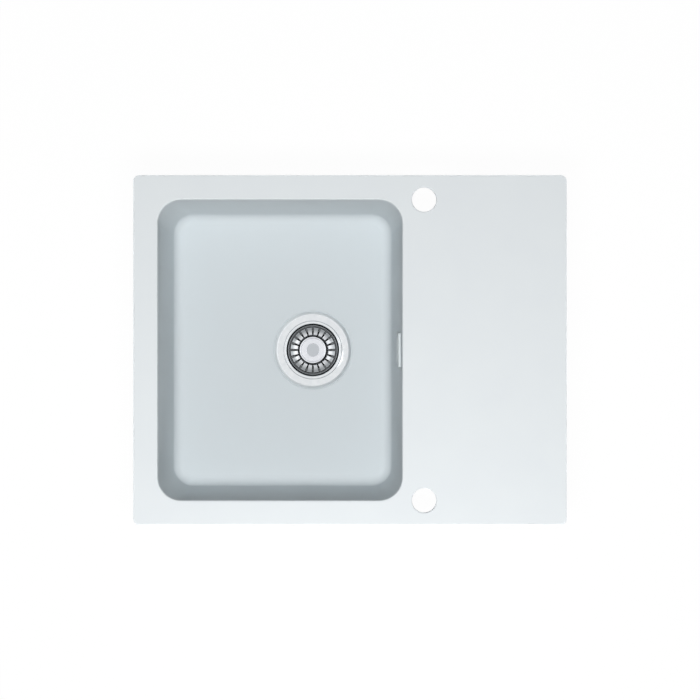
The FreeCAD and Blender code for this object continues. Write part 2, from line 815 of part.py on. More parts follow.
def make_clamp_claw(index, x, y, outward):
    """A bent steel strip, parked along the deck's edge: heel leg, arm and notched toe leg."""
    body = new_body(f"clamp_claw_{index}", x, y, turn=outward - QUARTER_TURN)
    heel, toe, thick = "(-dims.claw_heel)", "dims.claw_toe", "dims.claw_thick"
    bend, outer_bend = "dims.claw_bend", "(dims.claw_bend + dims.claw_thick)"
    side = new_sketch(body, "side", "XZ_Plane")
    outline(
        side,
        [
            (heel, CLAW_UNDER, outer_bend),
            (toe, CLAW_UNDER, outer_bend),
            (toe, f"{CLAW_TOP} + dims.claw_toe_height"),
            (f"{toe} - {thick}", f"{CLAW_TOP} + dims.claw_toe_height"),
            (f"{toe} - {thick}", CLAW_TOP, bend),
            (f"{heel} + {thick}", CLAW_TOP, bend),
            (f"{heel} + {thick}", f"{CLAW_TOP} + dims.claw_heel_height"),
            (heel, f"{CLAW_TOP} + dims.claw_heel_height"),
        ],
    )
    grow(body, side, "dims.claw_width", "strip", middle=True)
    hole = new_sketch(body, "hole", offset=CLAW_TOP)
    circle(hole, ZERO, ZERO, "dims.stud_radius + dims.claw_clearance")
    cut(body, hole, thick, "hole_cut")
    notch = new_sketch(body, "notch", "YZ_Plane", toe)
    tip = f"{CLAW_TOP} + dims.claw_toe_height"
    depth = "dims.claw_notch"
    outline(notch, [(ZERO, f"{tip} - {depth}"), (depth, tip), (f"-{depth}", tip)])
    cut(body, notch, thick, "notch_cut")


def make_clamp_nut(index, x, y):
    """A flanged hexagon nut under the claw."""
    body = new_body(f"clamp_nut_{index}", x, y)
    flange = new_sketch(body, "flange", offset=CLAW_UNDER)
    circle(flange, ZERO, ZERO, "dims.nut_flange_radius")
    grow(body, flange, "dims.nut_flange_thick", "flange_pad", reverse=True)
    hexagon = new_sketch(body, "hexagon", offset=CLAW_UNDER)
    corner = f"dims.nut_flats / 2 / cos({FULL_TURN // HEX_SIDES // 2})"
    angles = [step * FULL_TURN // HEX_SIDES for step in range(HEX_SIDES)]
    outline(hexagon, [(f"{corner} * cos({angle})", f"{corner} * sin({angle})") for angle in angles])
    grow(body, hexagon, "dims.nut_height", "hexagon_pad", reverse=True)
    bore = new_sketch(body, "bore", offset=CLAW_UNDER)
    circle(bore, ZERO, ZERO, "dims.stud_radius + dims.thread_clearance")
    cut(body, bore, "dims.nut_height", "bore_cut")


# --- strainer waste ------------------------------------------------------------------------------


def make_strainer_flange():
    """The pressed dish: sloped rim, flat flange, raised lip, well, seat and sump with its holes."""
    body = new_body("strainer_flange", DRAIN_X)
    sheet, top = "dims.sheet_thick", DISH_TOP
    slope_start = "(dims.flange_radius - dims.flange_slope_width)"
    rim_under = f"({RECESS_FLOOR} + dims.flange_rim_gap)"
    lip_top = f"({top} + dims.dish_lip_rise)"
    lip_foot = "(dims.lip_radius + dims.dish_lip_rise)"
    well, well_outer = "dims.well_radius", f"(dims.well_radius + {sheet})"
    seat_outer = f"(dims.seat_radius + {sheet})"
    hole = "(dims.screw_radius + dims.screw_clearance)"
    small, large = "dims.dish_lip_rise", "dims.press_round"
    profile = new_sketch(body, "profile", "XZ_Plane")
    outline(
        profile,
        [
            (hole, f"{SUMP_FLOOR} - {sheet}"),
            (seat_outer, f"{SUMP_FLOOR} - {sheet}", f"{large} + {sheet}"),
            (seat_outer, f"{WELL_FLOOR} - {sheet}", f"{large} / 2"),
            (well_outer, f"{WELL_FLOOR} - {sheet}", f"dims.well_round + {sheet}"),
            (well_outer, f"{lip_top} - {sheet}", large),
            ("dims.lip_radius", f"{lip_top} - {sheet}"),
            (lip_foot, f"{top} - {sheet}"),
            (slope_start, f"{top} - {sheet}", "dims.flange_slope_width"),
            (f"dims.flange_radius - {sheet}", f"{top} - dims.flange_slope_drop - {sheet}"),
            (f"dims.flange_radius - {sheet}", rim_under),
            ("dims.flange_radius", rim_under),
            ("dims.flange_radius", f"{top} - dims.flange_slope_drop", "dims.flange_round / 2"),
            (slope_start, top, "dims.flange_slope_width"),
            (f"{lip_foot} + {sheet} / 2", top, f"{small} / 2"),
            (f"dims.lip_radius + {sheet} / 2", lip_top, small),
            (well, lip_top, f"{large} + {sheet}"),
            (well, WELL_FLOOR, "dims.well_round"),
            ("dims.seat_radius", WELL_FLOOR, large),
            ("dims.seat_radius", SUMP_FLOOR, large),
            (hole, SUMP_FLOOR),
        ],
    )
    turn(body, profile, "dish")
    first = new_sketch(body, "sump_hole", offset=SUMP_FLOOR)
    circle(first, "dims.sump_hole_circle", ZERO, "dims.sump_hole_radius")
    drilled = cut(body, first, sheet, "sump_hole_cut")
    ring_of(body, drilled, "dims.sump_hole_count", first, "sump_holes")


def make_ring(label, inner, outer, low, high):
    """A flat ring round the drain's axis."""
    body = new_body(label, DRAIN_X)
    profile = new_sketch(body, "profile", "XZ_Plane")
    box_outline(profile, inner, outer, low, high)
    turn(body, profile, "ring")
    return body


def basket_lip():
    """Height, inner radius and outer radius of the steep wall where the rim meets the cup."""
    inner_share = "dims.basket_cup_lip / dims.basket_wall_depth"
    outer_share = "(dims.basket_cup_lip + dims.basket_sheet) / dims.basket_wall_depth"
    spread = f"({WALL_INNER} - dims.basket_cone_radius)"
    outer_spread = f"({WALL_OUTER} - {CONE_OUTER})"
    height = f"({CONE_TOP} + dims.basket_cup_lip)"
    inner = f"(dims.basket_cone_radius + {spread} * {inner_share})"
    return height, inner, f"({CONE_OUTER} + {outer_spread} * {outer_share})"


def make_basket_rim():
    """The basket's rolled rim and the steep wall under it."""
    body = new_body("basket_rim", DRAIN_X)
    sheet = "dims.basket_sheet"
    lip, inner, outer = basket_lip()
    profile = new_sketch(body, "profile", "XZ_Plane")
    outline(
        profile,
        [
            (inner, lip),
            (outer, lip),
            (WALL_OUTER, f"{BASKET_TOP} - {sheet}", "dims.press_round / 3"),
            (BASKET_RIM, f"{BASKET_TOP} - {sheet}"),
            (BASKET_RIM, BASKET_TOP, f"{sheet} / 2"),
            (WALL_INNER, BASKET_TOP, f"{sheet} / 2"),
        ],
    )
    turn(body, profile, "rim")


def make_basket_cup():
    """The basket's cup: a short lip, the slotted cone and the flat floor."""
    body = new_body("basket_cup", DRAIN_X)
    sheet = "dims.basket_sheet"
    lip, inner, outer = basket_lip()
    profile = new_sketch(body, "profile", "XZ_Plane")
    outline(
        profile,
        [
            ("dims.stem_radius", f"{BASKET_FLOOR} - {sheet}"),
            ("dims.basket_floor_radius", f"{BASKET_FLOOR} - {sheet}", "dims.press_round * 2"),
            (CONE_OUTER, f"{CONE_TOP} - {sheet}", "dims.press_round * 2"),
            (outer, lip),
            (inner, lip),
            ("dims.basket_cone_radius", CONE_TOP, "dims.press_round"),
            ("dims.basket_floor_radius", BASKET_FLOOR, "dims.press_round"),
            ("dims.stem_radius", BASKET_FLOOR),
        ],
    )
    turn(body, profile, "cup")
    slot = new_sketch(body, "slot", offset=CONE_TOP)
    half = "dims.slot_width / 2"
    box_outline(slot, "dims.slot_inner_radius", "dims.slot_outer_radius", f"-{half}", half)
    opened = cut(body, slot, "dims.basket_depth", "slot_cut")
    ring_of(body, opened, "dims.slot_count", slot, "slots")


def make_basket_knob():
    """The knob's cap: a dished disc with a raised rim and a raised middle."""
    body = new_body("basket_knob", DRAIN_X)
    dish = f"({KNOB_TOP} - dims.knob_dish)"
    dish_radius = "(dims.knob_radius - dims.knob_rim_width)"
    badge_top = f"({dish} + dims.knob_badge_rise)"
    profile = new_sketch(body, "profile", "XZ_Plane")
    outline(
        profile,
        [
            (ZERO, KNOB_UNDER),
            ("dims.knob_radius", KNOB_UNDER, "dims.knob_round"),
            ("dims.knob_radius", KNOB_TOP, "dims.knob_rim_width / 3"),
            (dish_radius, KNOB_TOP, "dims.knob_rim_width / 4"),
            (f"{dish_radius} - dims.knob_dish", dish),
            ("dims.knob_badge_radius + dims.knob_badge_rise", dish),
            ("dims.knob_badge_radius", badge_top),
            (ZERO, badge_top),
        ],
    )
    turn(body, profile, "cap")


def make_knob_neck():
    """The moulded neck under the knob's cap, with a blind socket for the stem."""
    body = new_body("knob_neck", DRAIN_X)
    flare = "(dims.knob_neck_radius + dims.knob_neck_flare)"
    profile = new_sketch(body, "profile", "XZ_Plane")
    outline(
        profile,
        [
            (ZERO, STEM_TOP),
            ("dims.stem_radius", STEM_TOP),
            ("dims.stem_radius", NECK_UNDER),
            ("dims.knob_neck_radius", NECK_UNDER),
            ("dims.knob_neck_radius", f"{KNOB_UNDER} - dims.knob_neck_flare"),
            (flare, KNOB_UNDER),
            (ZERO, KNOB_UNDER),
        ],
    )
    turn(body, profile, "neck")


def make_basket_stem():
    """The stem: knob end, collar under the cup and a thin tip through the plug."""
    body = new_body("basket_stem", DRAIN_X)
    cup_under = f"({BASKET_FLOOR} - dims.basket_sheet)"
    tip_under = f"({PLUG_UNDER} + dims.plug_hollow_depth - dims.retainer_thick * 2)"
    profile = new_sketch(body, "profile", "XZ_Plane")
    outline(
        profile,
        [
            (ZERO, tip_under),
            ("dims.stem_tip_radius", tip_under),
            ("dims.stem_tip_radius", PLUG_TOP),
            ("dims.stem_collar_radius", PLUG_TOP),
            ("dims.stem_collar_radius", cup_under),
            ("dims.stem_radius", cup_under),
            ("dims.stem_radius", STEM_TOP),
            (ZERO, STEM_TOP),
        ],
    )
    turn(body, profile, "stem")


def make_basket_plug():
    """The rubber plug under the basket, hollow where the retainer sits."""
    body = new_body("basket_plug", DRAIN_X)
    roof = f"({PLUG_UNDER} + dims.plug_hollow_depth)"
    profile = new_sketch(body, "profile", "XZ_Plane")
    outline(
        profile,
        [
            ("dims.plug_hollow_radius", PLUG_UNDER),
            ("dims.plug_radius", PLUG_UNDER, "dims.plug_round"),
            ("dims.plug_radius", PLUG_TOP, "dims.plug_round"),
            ("dims.stem_tip_radius", PLUG_TOP),
            ("dims.stem_tip_radius", roof),
            ("dims.plug_hollow_radius", roof),
        ],
    )
    turn(body, profile, "plug")


def make_waste_body():
    """The moulded body under the bowl: flange, cup, cone, threaded outlet, hub and side spigot."""
    body = new_body("waste_body", DRAIN_X)
    cup, wall = "dims.body_bore_radius", "dims.body_wall"
    profile = new_sketch(body, "profile", "XZ_Plane")
    outline(
        profile,
        [
            ("dims.outlet_bore_radius", OUTLET_END),
            ("dims.outlet_radius", OUTLET_END),
            ("dims.outlet_radius", CONE_UNDER),
            (f"{cup} + {wall}", CUP_UNDER, wall),
            (f"{cup} + {wall}", f"{BODY_TOP} - dims.body_flange_thick", f"{wall} / 2"),
            ("dims.body_flange_radius", f"{BODY_TOP} - dims.body_flange_thick", f"{wall} / 3"),
            ("dims.body_flange_radius", BODY_TOP, f"{wall} / 3"),
            (cup, BODY_TOP),
            (cup, f"{CUP_UNDER} + {wall}", wall),
            ("dims.outlet_bore_radius", f"{CONE_UNDER} + {wall}", wall),
        ],
    )
    turn(body, profile, "shell")
    spokes = new_sketch(body, "spokes", offset=CUP_UNDER)
    half = "dims.spoke_thick / 2"
    box_outline(spokes, ZERO, "dims.outlet_bore_radius + dims.spoke_root", f"-{half}", half)
    spoke = grow(body, spokes, "dims.spoke_depth", "spoke", reverse=True)
    ring_of(body, spoke, "dims.spoke_count", spokes, "spoke_ring")
    hub = new_sketch(body, "hub", offset=HUB_TOP)
    circle(hub, ZERO, ZERO, "dims.hub_radius")
    grow(body, hub, "dims.hub_length", "hub_pad", reverse=True)
    socket = new_sketch(body, "insert_hole", offset=HUB_TOP)
    circle(socket, ZERO, ZERO, "dims.hub_insert_radius")
    cut(body, socket, "dims.hub_insert_length", "insert_cut")
    add_spigot(body)


def add_spigot(body):
    """The side spigot with the socket that takes the hose's cuff."""
    start = f"{cup_radius()} - dims.body_wall / 2"
    length = "(dims.spigot_length + dims.body_wall / 2)"
    tube = new_sketch(body, "spigot", "YZ_Plane", start)
    circle(tube, ZERO, SPIGOT_HEIGHT, "dims.spigot_radius")
    grow(body, tube, length, "spigot_pad")
    face = f"{cup_radius()} + dims.spigot_length"
    socket = new_sketch(body, "spigot_socket", "YZ_Plane", face)
    circle(socket, ZERO, SPIGOT_HEIGHT, SOCKET_RADIUS)
    cut(body, socket, "dims.spigot_socket", "socket_cut")
    bore = new_sketch(body, "spigot_bore", "YZ_Plane", face)
    circle(bore, ZERO, SPIGOT_HEIGHT, "dims.hose_bore_radius")
    cut(body, bore, "dims.spigot_length + dims.body_wall * 2", "bore_cut")


def cup_radius():
    """Outer radius of the waste body's cup."""
    return "(dims.body_bore_radius + dims.body_wall)"


def make_waste_screw():
    """The long screw that draws the dish down onto the waste body, with a slotted head."""
    body = new_body("waste_screw", DRAIN_X)
    seat = f"({SUMP_FLOOR} + dims.screw_washer_thick)"
    profile = new_sketch(body, "profile", "XZ_Plane")
    outline(
        profile,
        [
            (ZERO, f"{seat} - dims.screw_length"),
            ("dims.screw_radius", f"{seat} - dims.screw_length"),
            ("dims.screw_radius", seat),
            ("dims.screw_head_radius", seat),
            ("dims.screw_head_radius", f"{seat} + dims.screw_head_height", "dims.screw_head_height / 2"),
            (ZERO, f"{seat} + dims.screw_head_height"),
        ],
    )
    turn(body, profile, "screw")
    slot = new_sketch(body, "slot", offset=f"{seat} + dims.screw_head_height")
    half, reach = "dims.screw_slot_width / 2", "dims.screw_head_radius"
    box_outline(slot, f"-{reach}", reach, f"-{half}", half)
    cut(body, slot, "dims.screw_slot_depth", "slot_cut")


def make_spigot_seal():
    """The tapered rubber ring that the spigot nut squeezes onto the hose."""
    body = new_body("spigot_seal", SPIGOT_END, z=SPIGOT_HEIGHT)
    thick = "dims.cone_seal_thick"
    profile = new_sketch(body, "profile", "XZ_Plane")
    outline(
        profile,
        [
            (ZERO, SOCKET_RADIUS),
            (thick, SOCKET_RADIUS),
            (thick, "dims.cone_seal_radius"),
            (ZERO, "dims.spigot_radius"),
        ],
    )
    turn(body, profile, "seal", "H_Axis")


def make_spigot_nut():
    """The hand nut over the spigot, with grip lugs."""
    body = new_body("spigot_nut", SPIGOT_END, z=SPIGOT_HEIGHT)
    mouth = "(dims.cone_seal_radius + dims.hose_clearance)"
    start = "(-dims.spigot_nut_overlap)"
    cap = "dims.cone_seal_thick"
    end = f"({cap} + dims.spigot_nut_cap)"
    thread = "(dims.spigot_radius + dims.hose_clearance)"
    grip = "dims.spigot_nut_lug"
    profile = new_sketch(body, "profile", "XZ_Plane")
    outline(
        profile,
        [
            (start, thread),
            (ZERO, thread),
            (ZERO, mouth),
            (cap, mouth),
            (cap, "dims.hose_crest_radius + dims.hose_clearance"),
            (end, "dims.hose_crest_radius + dims.hose_clearance"),
            (end, "dims.spigot_nut_radius", grip),
            (start, "dims.spigot_nut_radius", f"{grip} / 2"),
        ],
    )
    turn(body, profile, "nut", "H_Axis")
    lug = new_sketch(body, "lug", "YZ_Plane", start)
    lug_foot, lug_top = f"dims.spigot_nut_radius - {grip}", f"dims.spigot_nut_radius + {grip} / 2"
    box_outline(lug, f"-{grip}", grip, lug_foot, lug_top)
    length = f"dims.spigot_nut_overlap + {cap}"
    grip_lug = grow(body, lug, length, "lug_pad")
    ring_of(body, grip_lug, "dims.spigot_nut_lugs", lug, "lugs")


# --- overflow ------------------------------------------------------------------------------------


def wall_face(height, off_wall=ZERO):
    """X of the bowl's sloping inner face at a height, or of a place a little off it."""
    return f"({BOWL_RIGHT} - ({DECK_TOP} - ({height})) * tan(dims.wall_slope) - {off_wall})"


def make_overflow_rosette():
    """The rosette on the bowl's wall round the slot, with a peg into each end of the slot."""
    body = new_body("overflow_rosette")
    low = f"({OVERFLOW_HEIGHT} - dims.rosette_below)"
    high = f"({OVERFLOW_HEIGHT} + dims.rosette_above)"
    thick, half = "dims.rosette_thick", "(dims.rosette_length / 2)"
    side = new_sketch(body, "side", "XZ_Plane")
    corners = [(wall_face(low), low), (wall_face(high), high)]
    corners += [(wall_face(high, thick), high), (wall_face(low, thick), low)]
    outline(side, corners)
    grow(body, side, "dims.rosette_length", "plate", middle=True)

    def at_corner(edge):
        beside = abs(abs(edge.CenterOfMass.y) - number(half)) < TINY
        return beside and (level(edge, low) or level(edge, high))

    round_edges(body, at_corner, "dims.rosette_corner", "corner_round")

    def at_front(edge):
        off = [number(wall_face(f"{point.Z}", thick)) - point.X for point in edge.Vertexes]
        return len(off) == 2 and max(abs(gap) for gap in off) < TINY

    round_edges(body, at_front, "dims.rosette_edge_round", "front_round")

    opening = new_sketch(body, "opening", "YZ_Plane", BOWL_RIGHT)
    across, rise = "(dims.rosette_opening_length / 2)", "(dims.overflow_height / 2)"
    sides = (f"-{across}", across, f"{OVERFLOW_HEIGHT} - {rise}", f"{OVERFLOW_HEIGHT} + {rise}")
    box_outline(opening, *sides, "dims.rosette_opening_corner")
    cut(body, opening, "dims.wall_thick * 2", "opening_cut")

    peg_face = f"({wall_face(OVERFLOW_HEIGHT)} + dims.rosette_peg_length)"
    pegs = new_sketch(body, "pegs", "YZ_Plane", peg_face)
    outer = "(dims.overflow_length / 2 - dims.rosette_peg_clearance)"
    inner = f"({outer} - dims.rosette_peg_thick)"
    rise = "dims.rosette_peg_height / 2"
    levels = (f"{OVERFLOW_HEIGHT} - {rise}", f"{OVERFLOW_HEIGHT} + {rise}")
    box_outline(pegs, inner, outer, *levels)
    box_outline(pegs, f"-{outer}", f"-{inner}", *levels)
    grow(body, pegs, f"dims.rosette_peg_length + {thick} / 2", "pegs_pad", reverse=True)


def plate_outline(sketch):
    """The plan of the housing's plate and its seal, seen along X."""
    half = "(dims.boss_length / 2)"
    rise = "(dims.boss_height / 2)"
    low, high = f"{OVERFLOW_HEIGHT} - {rise}", f"{OVERFLOW_HEIGHT} + {rise}"
    box_outline(sketch, f"-{half}", half, low, high, "dims.boss_corner")


def add_screw_holes(body, face, depth):
    """Clearance holes for the housing screws."""
    holes = new_sketch(body, "screw_holes", "YZ_Plane", face)
    radius = "dims.housing_screw_radius + dims.housing_screw_clearance"
    for y in screw_places():
        circle(holes, y, OVERFLOW_HEIGHT, radius)
    cut(body, holes, depth, "screw_cut")


def make_overflow_seal():
    """The flat gasket between the boss and the housing."""
    body = new_body("overflow_seal")
    plate = new_sketch(body, "plate", "YZ_Plane", BOSS_FACE)
    plate_outline(plate)
    grow(body, plate, "dims.overflow_seal_thick", "sheet")
    slot = new_sketch(body, "slot", "YZ_Plane", PLATE_BACK)
    overflow_outline(slot, "dims.overflow_seal_land / 3")
    cut(body, slot, "dims.overflow_seal_thick", "slot_cut")
    add_screw_holes(body, PLATE_BACK, "dims.overflow_seal_thick")


def make_overflow_housing():
    """The moulded elbow behind the slot: plate, chamber, collar and hose stub."""
    body = new_body("overflow_housing")
    plate = new_sketch(body, "plate", "YZ_Plane", PLATE_BACK)
    plate_outline(plate)
    grow(body, plate, "dims.housing_plate_thick", "plate_pad")

    chamber_face = f"({HOSE_X} + dims.collar_radius)"
    half, rise = "(dims.housing_length / 2)", "(dims.housing_height / 2)"
    low, high = f"({OVERFLOW_HEIGHT} - {rise})", f"({OVERFLOW_HEIGHT} + {rise})"
    chamber = new_sketch(body, "chamber", "YZ_Plane", PLATE_BACK)
    box_outline(chamber, f"-{half}", half, low, high, "dims.housing_round * 2")
    grow(body, chamber, f"{chamber_face} - {PLATE_BACK}", "chamber_pad")

    def far_edges(edge):
        box = edge.BoundBox
        return abs(box.XMin - number(chamber_face)) < TINY and abs(box.XMax - number(chamber_face)) < TINY

    round_edges(body, far_edges, "dims.housing_round", "chamber_round")

    collar = new_sketch(body, "collar", offset=f"{HOSE_TOP} + dims.collar_length + dims.housing_wall")
    circle(collar, HOSE_X, ZERO, "dims.collar_radius")
    grow(body, collar, "dims.collar_length + dims.housing_wall", "collar_pad", reverse=True)
    stub = new_sketch(body, "stub", offset=HOSE_TOP)
    circle(stub, HOSE_X, ZERO, "dims.hose_bore_radius - dims.hose_clearance")
    grow(body, stub, "dims.stub_length", "stub_pad", reverse=True)

    wall = "dims.housing_wall"
    room = new_sketch(body, "room", "YZ_Plane", PLATE_BACK)
    inner_half = f"({half} - {wall})"
    inner_low, inner_high = f"{low} + {wall}", f"{high} - {wall}"
    box_outline(room, f"-{inner_half}", inner_half, inner_low, inner_high, "dims.housing_round")
    cut(body, room, f"{chamber_face} - {PLATE_BACK} - {wall}", "room_cut", reverse=True)
    bore = new_sketch(body, "bore", offset=OVERFLOW_HEIGHT)
    circle(bore, HOSE_X, ZERO, "dims.stub_bore_radius")
    cut(body, bore, LONG_CUT, "bore_cut")
    add_screw_holes(body, PLATE_FACE, "dims.housing_plate_thick")


def make_overflow_screws():
    """Two pan-head screws through the housing's plate into the boss."""
    body = new_body("overflow_screws")
    body.AllowCompound = True
    heads = new_sketch(body, "heads", "YZ_Plane", PLATE_FACE)
    shanks = new_sketch(body, "shanks", "YZ_Plane", PLATE_FACE)
    for y in screw_places():
        circle(heads, y, OVERFLOW_HEIGHT, "dims.housing_screw_head_radius")
        circle(shanks, y, OVERFLOW_HEIGHT, "dims.housing_screw_radius")
    grow(body, heads, "dims.housing_screw_head_height", "heads_pad")
    length = "dims.housing_screw_depth + dims.overflow_seal_thick + dims.housing_plate_thick"
    grow(body, shanks, length, "shanks_pad", reverse=True)


def hose_route():
    """Corner-free line of the hose: down from the collar, a quarter bend, then to the spigot."""
    x, top, low, end = (number(value) for value in (HOSE_X, HOSE_TOP, SPIGOT_HEIGHT, HOSE_END))
    bend = number("dims.hose_bend_radius")
    start = Vector(x, 0, top)
    bend_start = Vector(x, 0, low + bend)
    bend_end = Vector(x - bend, 0, low)
    finish = Vector(end, 0, low)
    middle = Vector(x - bend, 0, low + bend)
    return start, bend_start, bend_end, finish, middle


def hose_frame(distance):
    """Place and direction of the hose's line at a distance from its top."""
    start, bend_start, bend_end, finish, middle = hose_route()
    drop = (bend_start - start).Length
    bend = (bend_start - middle).Length
    arc = bend * math.pi / 2
    down, left = Vector(0, 0, -1), Vector(-1, 0, 0)
    if distance <= drop:
        return start + down * distance, down
    if distance >= drop + arc:
        return bend_end + left * (distance - drop - arc), left
    angle = (distance - drop) / bend
    outward = Vector(math.cos(angle), 0, -math.sin(angle))
    return middle + outward * bend, Vector(-math.sin(angle), 0, -math.cos(angle))


def hose_circle(distance, radius):
    """A circle square to the hose's line, its X axis kept along Y."""
    place, ahead = hose_frame(distance)
    across = Vector(0, 1, 0)
    turned = FreeCAD.Rotation(across, ahead.cross(across), ahead, "ZXY")
    ring = Part.Wire(Part.makeCircle(radius))
    ring.Placement = FreeCAD.Placement(place, turned)
    return ring


def make_overflow_hose():
    """The ribbed hose: plain cuffs at both ends, ribs between them and a smooth bore."""
    start, bend_start, bend_end, finish, middle = hose_route()
    drop, run = (bend_start - start).Length, (finish - bend_end).Length
    total = drop + number("dims.hose_bend_radius") * math.pi / 2 + run
    cuff, cuff_radius = number("dims.hose_cuff_length"), number("dims.hose_cuff_radius")
    count = round((total - cuff * 2) / number("dims.hose_rib_pitch"))
    pitch = (total - cuff * 2) / count
    rings = [hose_circle(0, cuff_radius), hose_circle(cuff, cuff_radius)]
    for index in range(count):
        base = cuff + pitch * index
        for share, radius in HOSE_RIB:
            rings.append(hose_circle(base + pitch * share, number(radius)))
    rings.append(hose_circle(total - cuff + pitch * HOSE_RIB[0][0], cuff_radius))
    rings.append(hose_circle(total, cuff_radius))
    outside = Part.makeLoft(rings, True, True)
    half_turn = Vector(math.cos(math.pi / 4), 0, -math.sin(math.pi / 4))
    halfway = middle + half_turn * number("dims.hose_bend_radius")
    route = Part.Wire(
        [
            Part.makeLine(start, bend_start),
            Part.Arc(bend_start, halfway, bend_end).toShape(),
            Part.makeLine(bend_end, finish),
        ]
    )
    bore = route.makePipeShell([hose_circle(0, number("dims.hose_bore_radius"))], True, False)
    hose = doc.addObject("Part::Feature", "overflow_hose")
    hose.Label = "overflow_hose"
    hose.Shape = outside.cut(bore)
    nodes.append(hose)
    print(f"hose: {count} ribs, {total:.1f} mm long, volume {hose.Shape.Volume:.0f}")


def make_hose_clip():
    """The band clip round the hose's top cuff, with its screw block."""
    body = new_body("hose_clip", HOSE_X)
    band = "(dims.hose_cuff_radius + dims.clip_thick)"
    high = f"({HOSE_TOP} - dims.clip_drop)"
    low = f"({high} - dims.clip_width)"
    profile = new_sketch(body, "profile", "XZ_Plane")
    box_outline(profile, "dims.hose_cuff_radius", band, low, high)
    turn(body, profile, "band")
    block = new_sketch(body, "block", "XZ_Plane")
    box_outline(block, "dims.hose_cuff_radius", f"{band} + dims.clip_block_height", low, high)
    grow(body, block, "dims.clip_block_length", "block_pad", middle=True)
    hollow = new_sketch(body, "hollow", "XZ_Plane")
    x, z = clip_screw_place()
    circle(hollow, x, z, "dims.clip_screw_radius")
    cut(body, hollow, LONG_CUT, "hollow_cut", middle=True)


def clip_screw_place():
    """The clip screw's axis: beside the band, half way up it."""
    x = "(dims.hose_cuff_radius + dims.clip_thick + dims.clip_block_height / 2)"
    z = f"({HOSE_TOP} - dims.clip_drop - dims.clip_width / 2)"
    return x, z


def make_hose_clip_screw():
    """The clip's screw, through its block."""
    body = new_body("hose_clip_screw", HOSE_X)
    rod = new_sketch(body, "rod", "XZ_Plane")
    x, z = clip_screw_place()
    circle(rod, x, z, "dims.clip_screw_radius")
    grow(body, rod, "dims.clip_screw_length", "rod_pad", middle=True)


# --- the whole part ------------------------------------------------------------------------------


def make_all():
    """Every sub-part, sink first."""
    make_sink_body()
    make_rim_seal()
    make_clamp_inserts()
    make_clamp_studs()
    for index, (x, y, outward) in enumerate(CLAMPS, start=1):
        make_clamp_claw(index, x, y, outward)
        make_clamp_nut(index, x, y)
    make_strainer_flange()
    seal_top = f"{RECESS_FLOOR} + dims.flange_seal_thick"
    make_ring("flange_seal", "dims.drain_hole_radius", "dims.flange_seal_radius", RECESS_FLOOR, seal_top)
    inner = "dims.body_flange_radius - dims.body_seal_width"
    make_ring("body_seal", inner, "dims.body_flange_radius", BODY_TOP, FLOOR_UNDER)
    make_waste_body()
    insert_low = f"{HUB_TOP} - dims.hub_insert_length"
    make_ring("hub_insert", "dims.screw_radius", "dims.hub_insert_radius", insert_low, HUB_TOP)
    make_waste_screw()
    washer_top = f"{SUMP_FLOOR} + dims.screw_washer_thick"
    make_ring("screw_washer", "dims.screw_radius", "dims.screw_washer_radius", SUMP_FLOOR, washer_top)
    make_spigot_seal()
    make_spigot_nut()
    make_overflow_rosette()
    make_overflow_seal()
    make_overflow_housing()
    make_overflow_screws()
    make_overflow_hose()
    make_hose_clip()
    make_hose_clip_screw()
    make_basket_rim()
    make_basket_cup()
    make_basket_knob()
    make_knob_neck()
    make_basket_stem()
    make_basket_plug()
    retainer_top = f"{PLUG_UNDER} + dims.plug_hollow_depth"
    retainer_low = f"{retainer_top} - dims.retainer_thick"
    make_ring("basket_retainer", "dims.stem_tip_radius", "dims.retainer_radius", retainer_low, retainer_top)


def check_and_write():
    """Stops at a failed object or shape, then writes one file for each sub-part."""
    doc.recompute()
    for item in doc.Objects:
        if "Invalid" in item.State or "Error" in item.State:
            raise ValueError(f"{item.Name} failed: {item.State}")
    for node in nodes:
        if node.Shape.isNull() or not node.Shape.isValid():
            raise ValueError(f"{node.Label} has no valid shape")
    os.makedirs("parts", exist_ok=True)
    for node in nodes:
        node.Shape.exportStep(f"parts/{node.Label}.step")
        print(f"{node.Label}: {len(node.Shape.Solids)} solid(s), {node.Shape.Volume:.0f} mm3")


make_all()
check_and_write()
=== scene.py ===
import json
import math

import bmesh
import bpy
from mathutils import Matrix, Vector


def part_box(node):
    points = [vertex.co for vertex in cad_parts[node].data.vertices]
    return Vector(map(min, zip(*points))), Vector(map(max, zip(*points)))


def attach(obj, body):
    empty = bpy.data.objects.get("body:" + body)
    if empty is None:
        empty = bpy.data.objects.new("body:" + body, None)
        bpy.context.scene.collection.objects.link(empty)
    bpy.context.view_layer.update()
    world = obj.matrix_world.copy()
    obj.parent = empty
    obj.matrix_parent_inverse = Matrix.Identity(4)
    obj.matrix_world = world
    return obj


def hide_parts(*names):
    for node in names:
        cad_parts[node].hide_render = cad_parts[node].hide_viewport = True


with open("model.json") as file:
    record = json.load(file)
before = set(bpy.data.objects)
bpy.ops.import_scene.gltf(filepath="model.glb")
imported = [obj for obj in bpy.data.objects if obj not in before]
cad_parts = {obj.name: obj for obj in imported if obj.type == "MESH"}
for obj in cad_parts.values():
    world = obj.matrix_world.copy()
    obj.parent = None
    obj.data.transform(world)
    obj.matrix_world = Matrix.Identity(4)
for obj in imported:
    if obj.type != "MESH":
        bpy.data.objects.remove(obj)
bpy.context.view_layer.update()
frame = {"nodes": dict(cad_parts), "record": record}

# Inset kitchen sink in white quartz composite with its strainer waste, overflow and worktop clamps.
# Metres.  The origin is the centre of the worktop cut-out, +X runs towards the drainboard and +Z up.

MM = 0.001
FULL_TURN = 2 * math.pi
QUARTER_TURN = math.pi / 2

scene = bpy.context.scene
scene.view_settings.view_transform = "Standard"


# --- places taken from the frame -------------------------------------------------------------------


def middle(node):
    """Centre of a node's box."""
    low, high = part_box(node)
    return (low + high) / 2


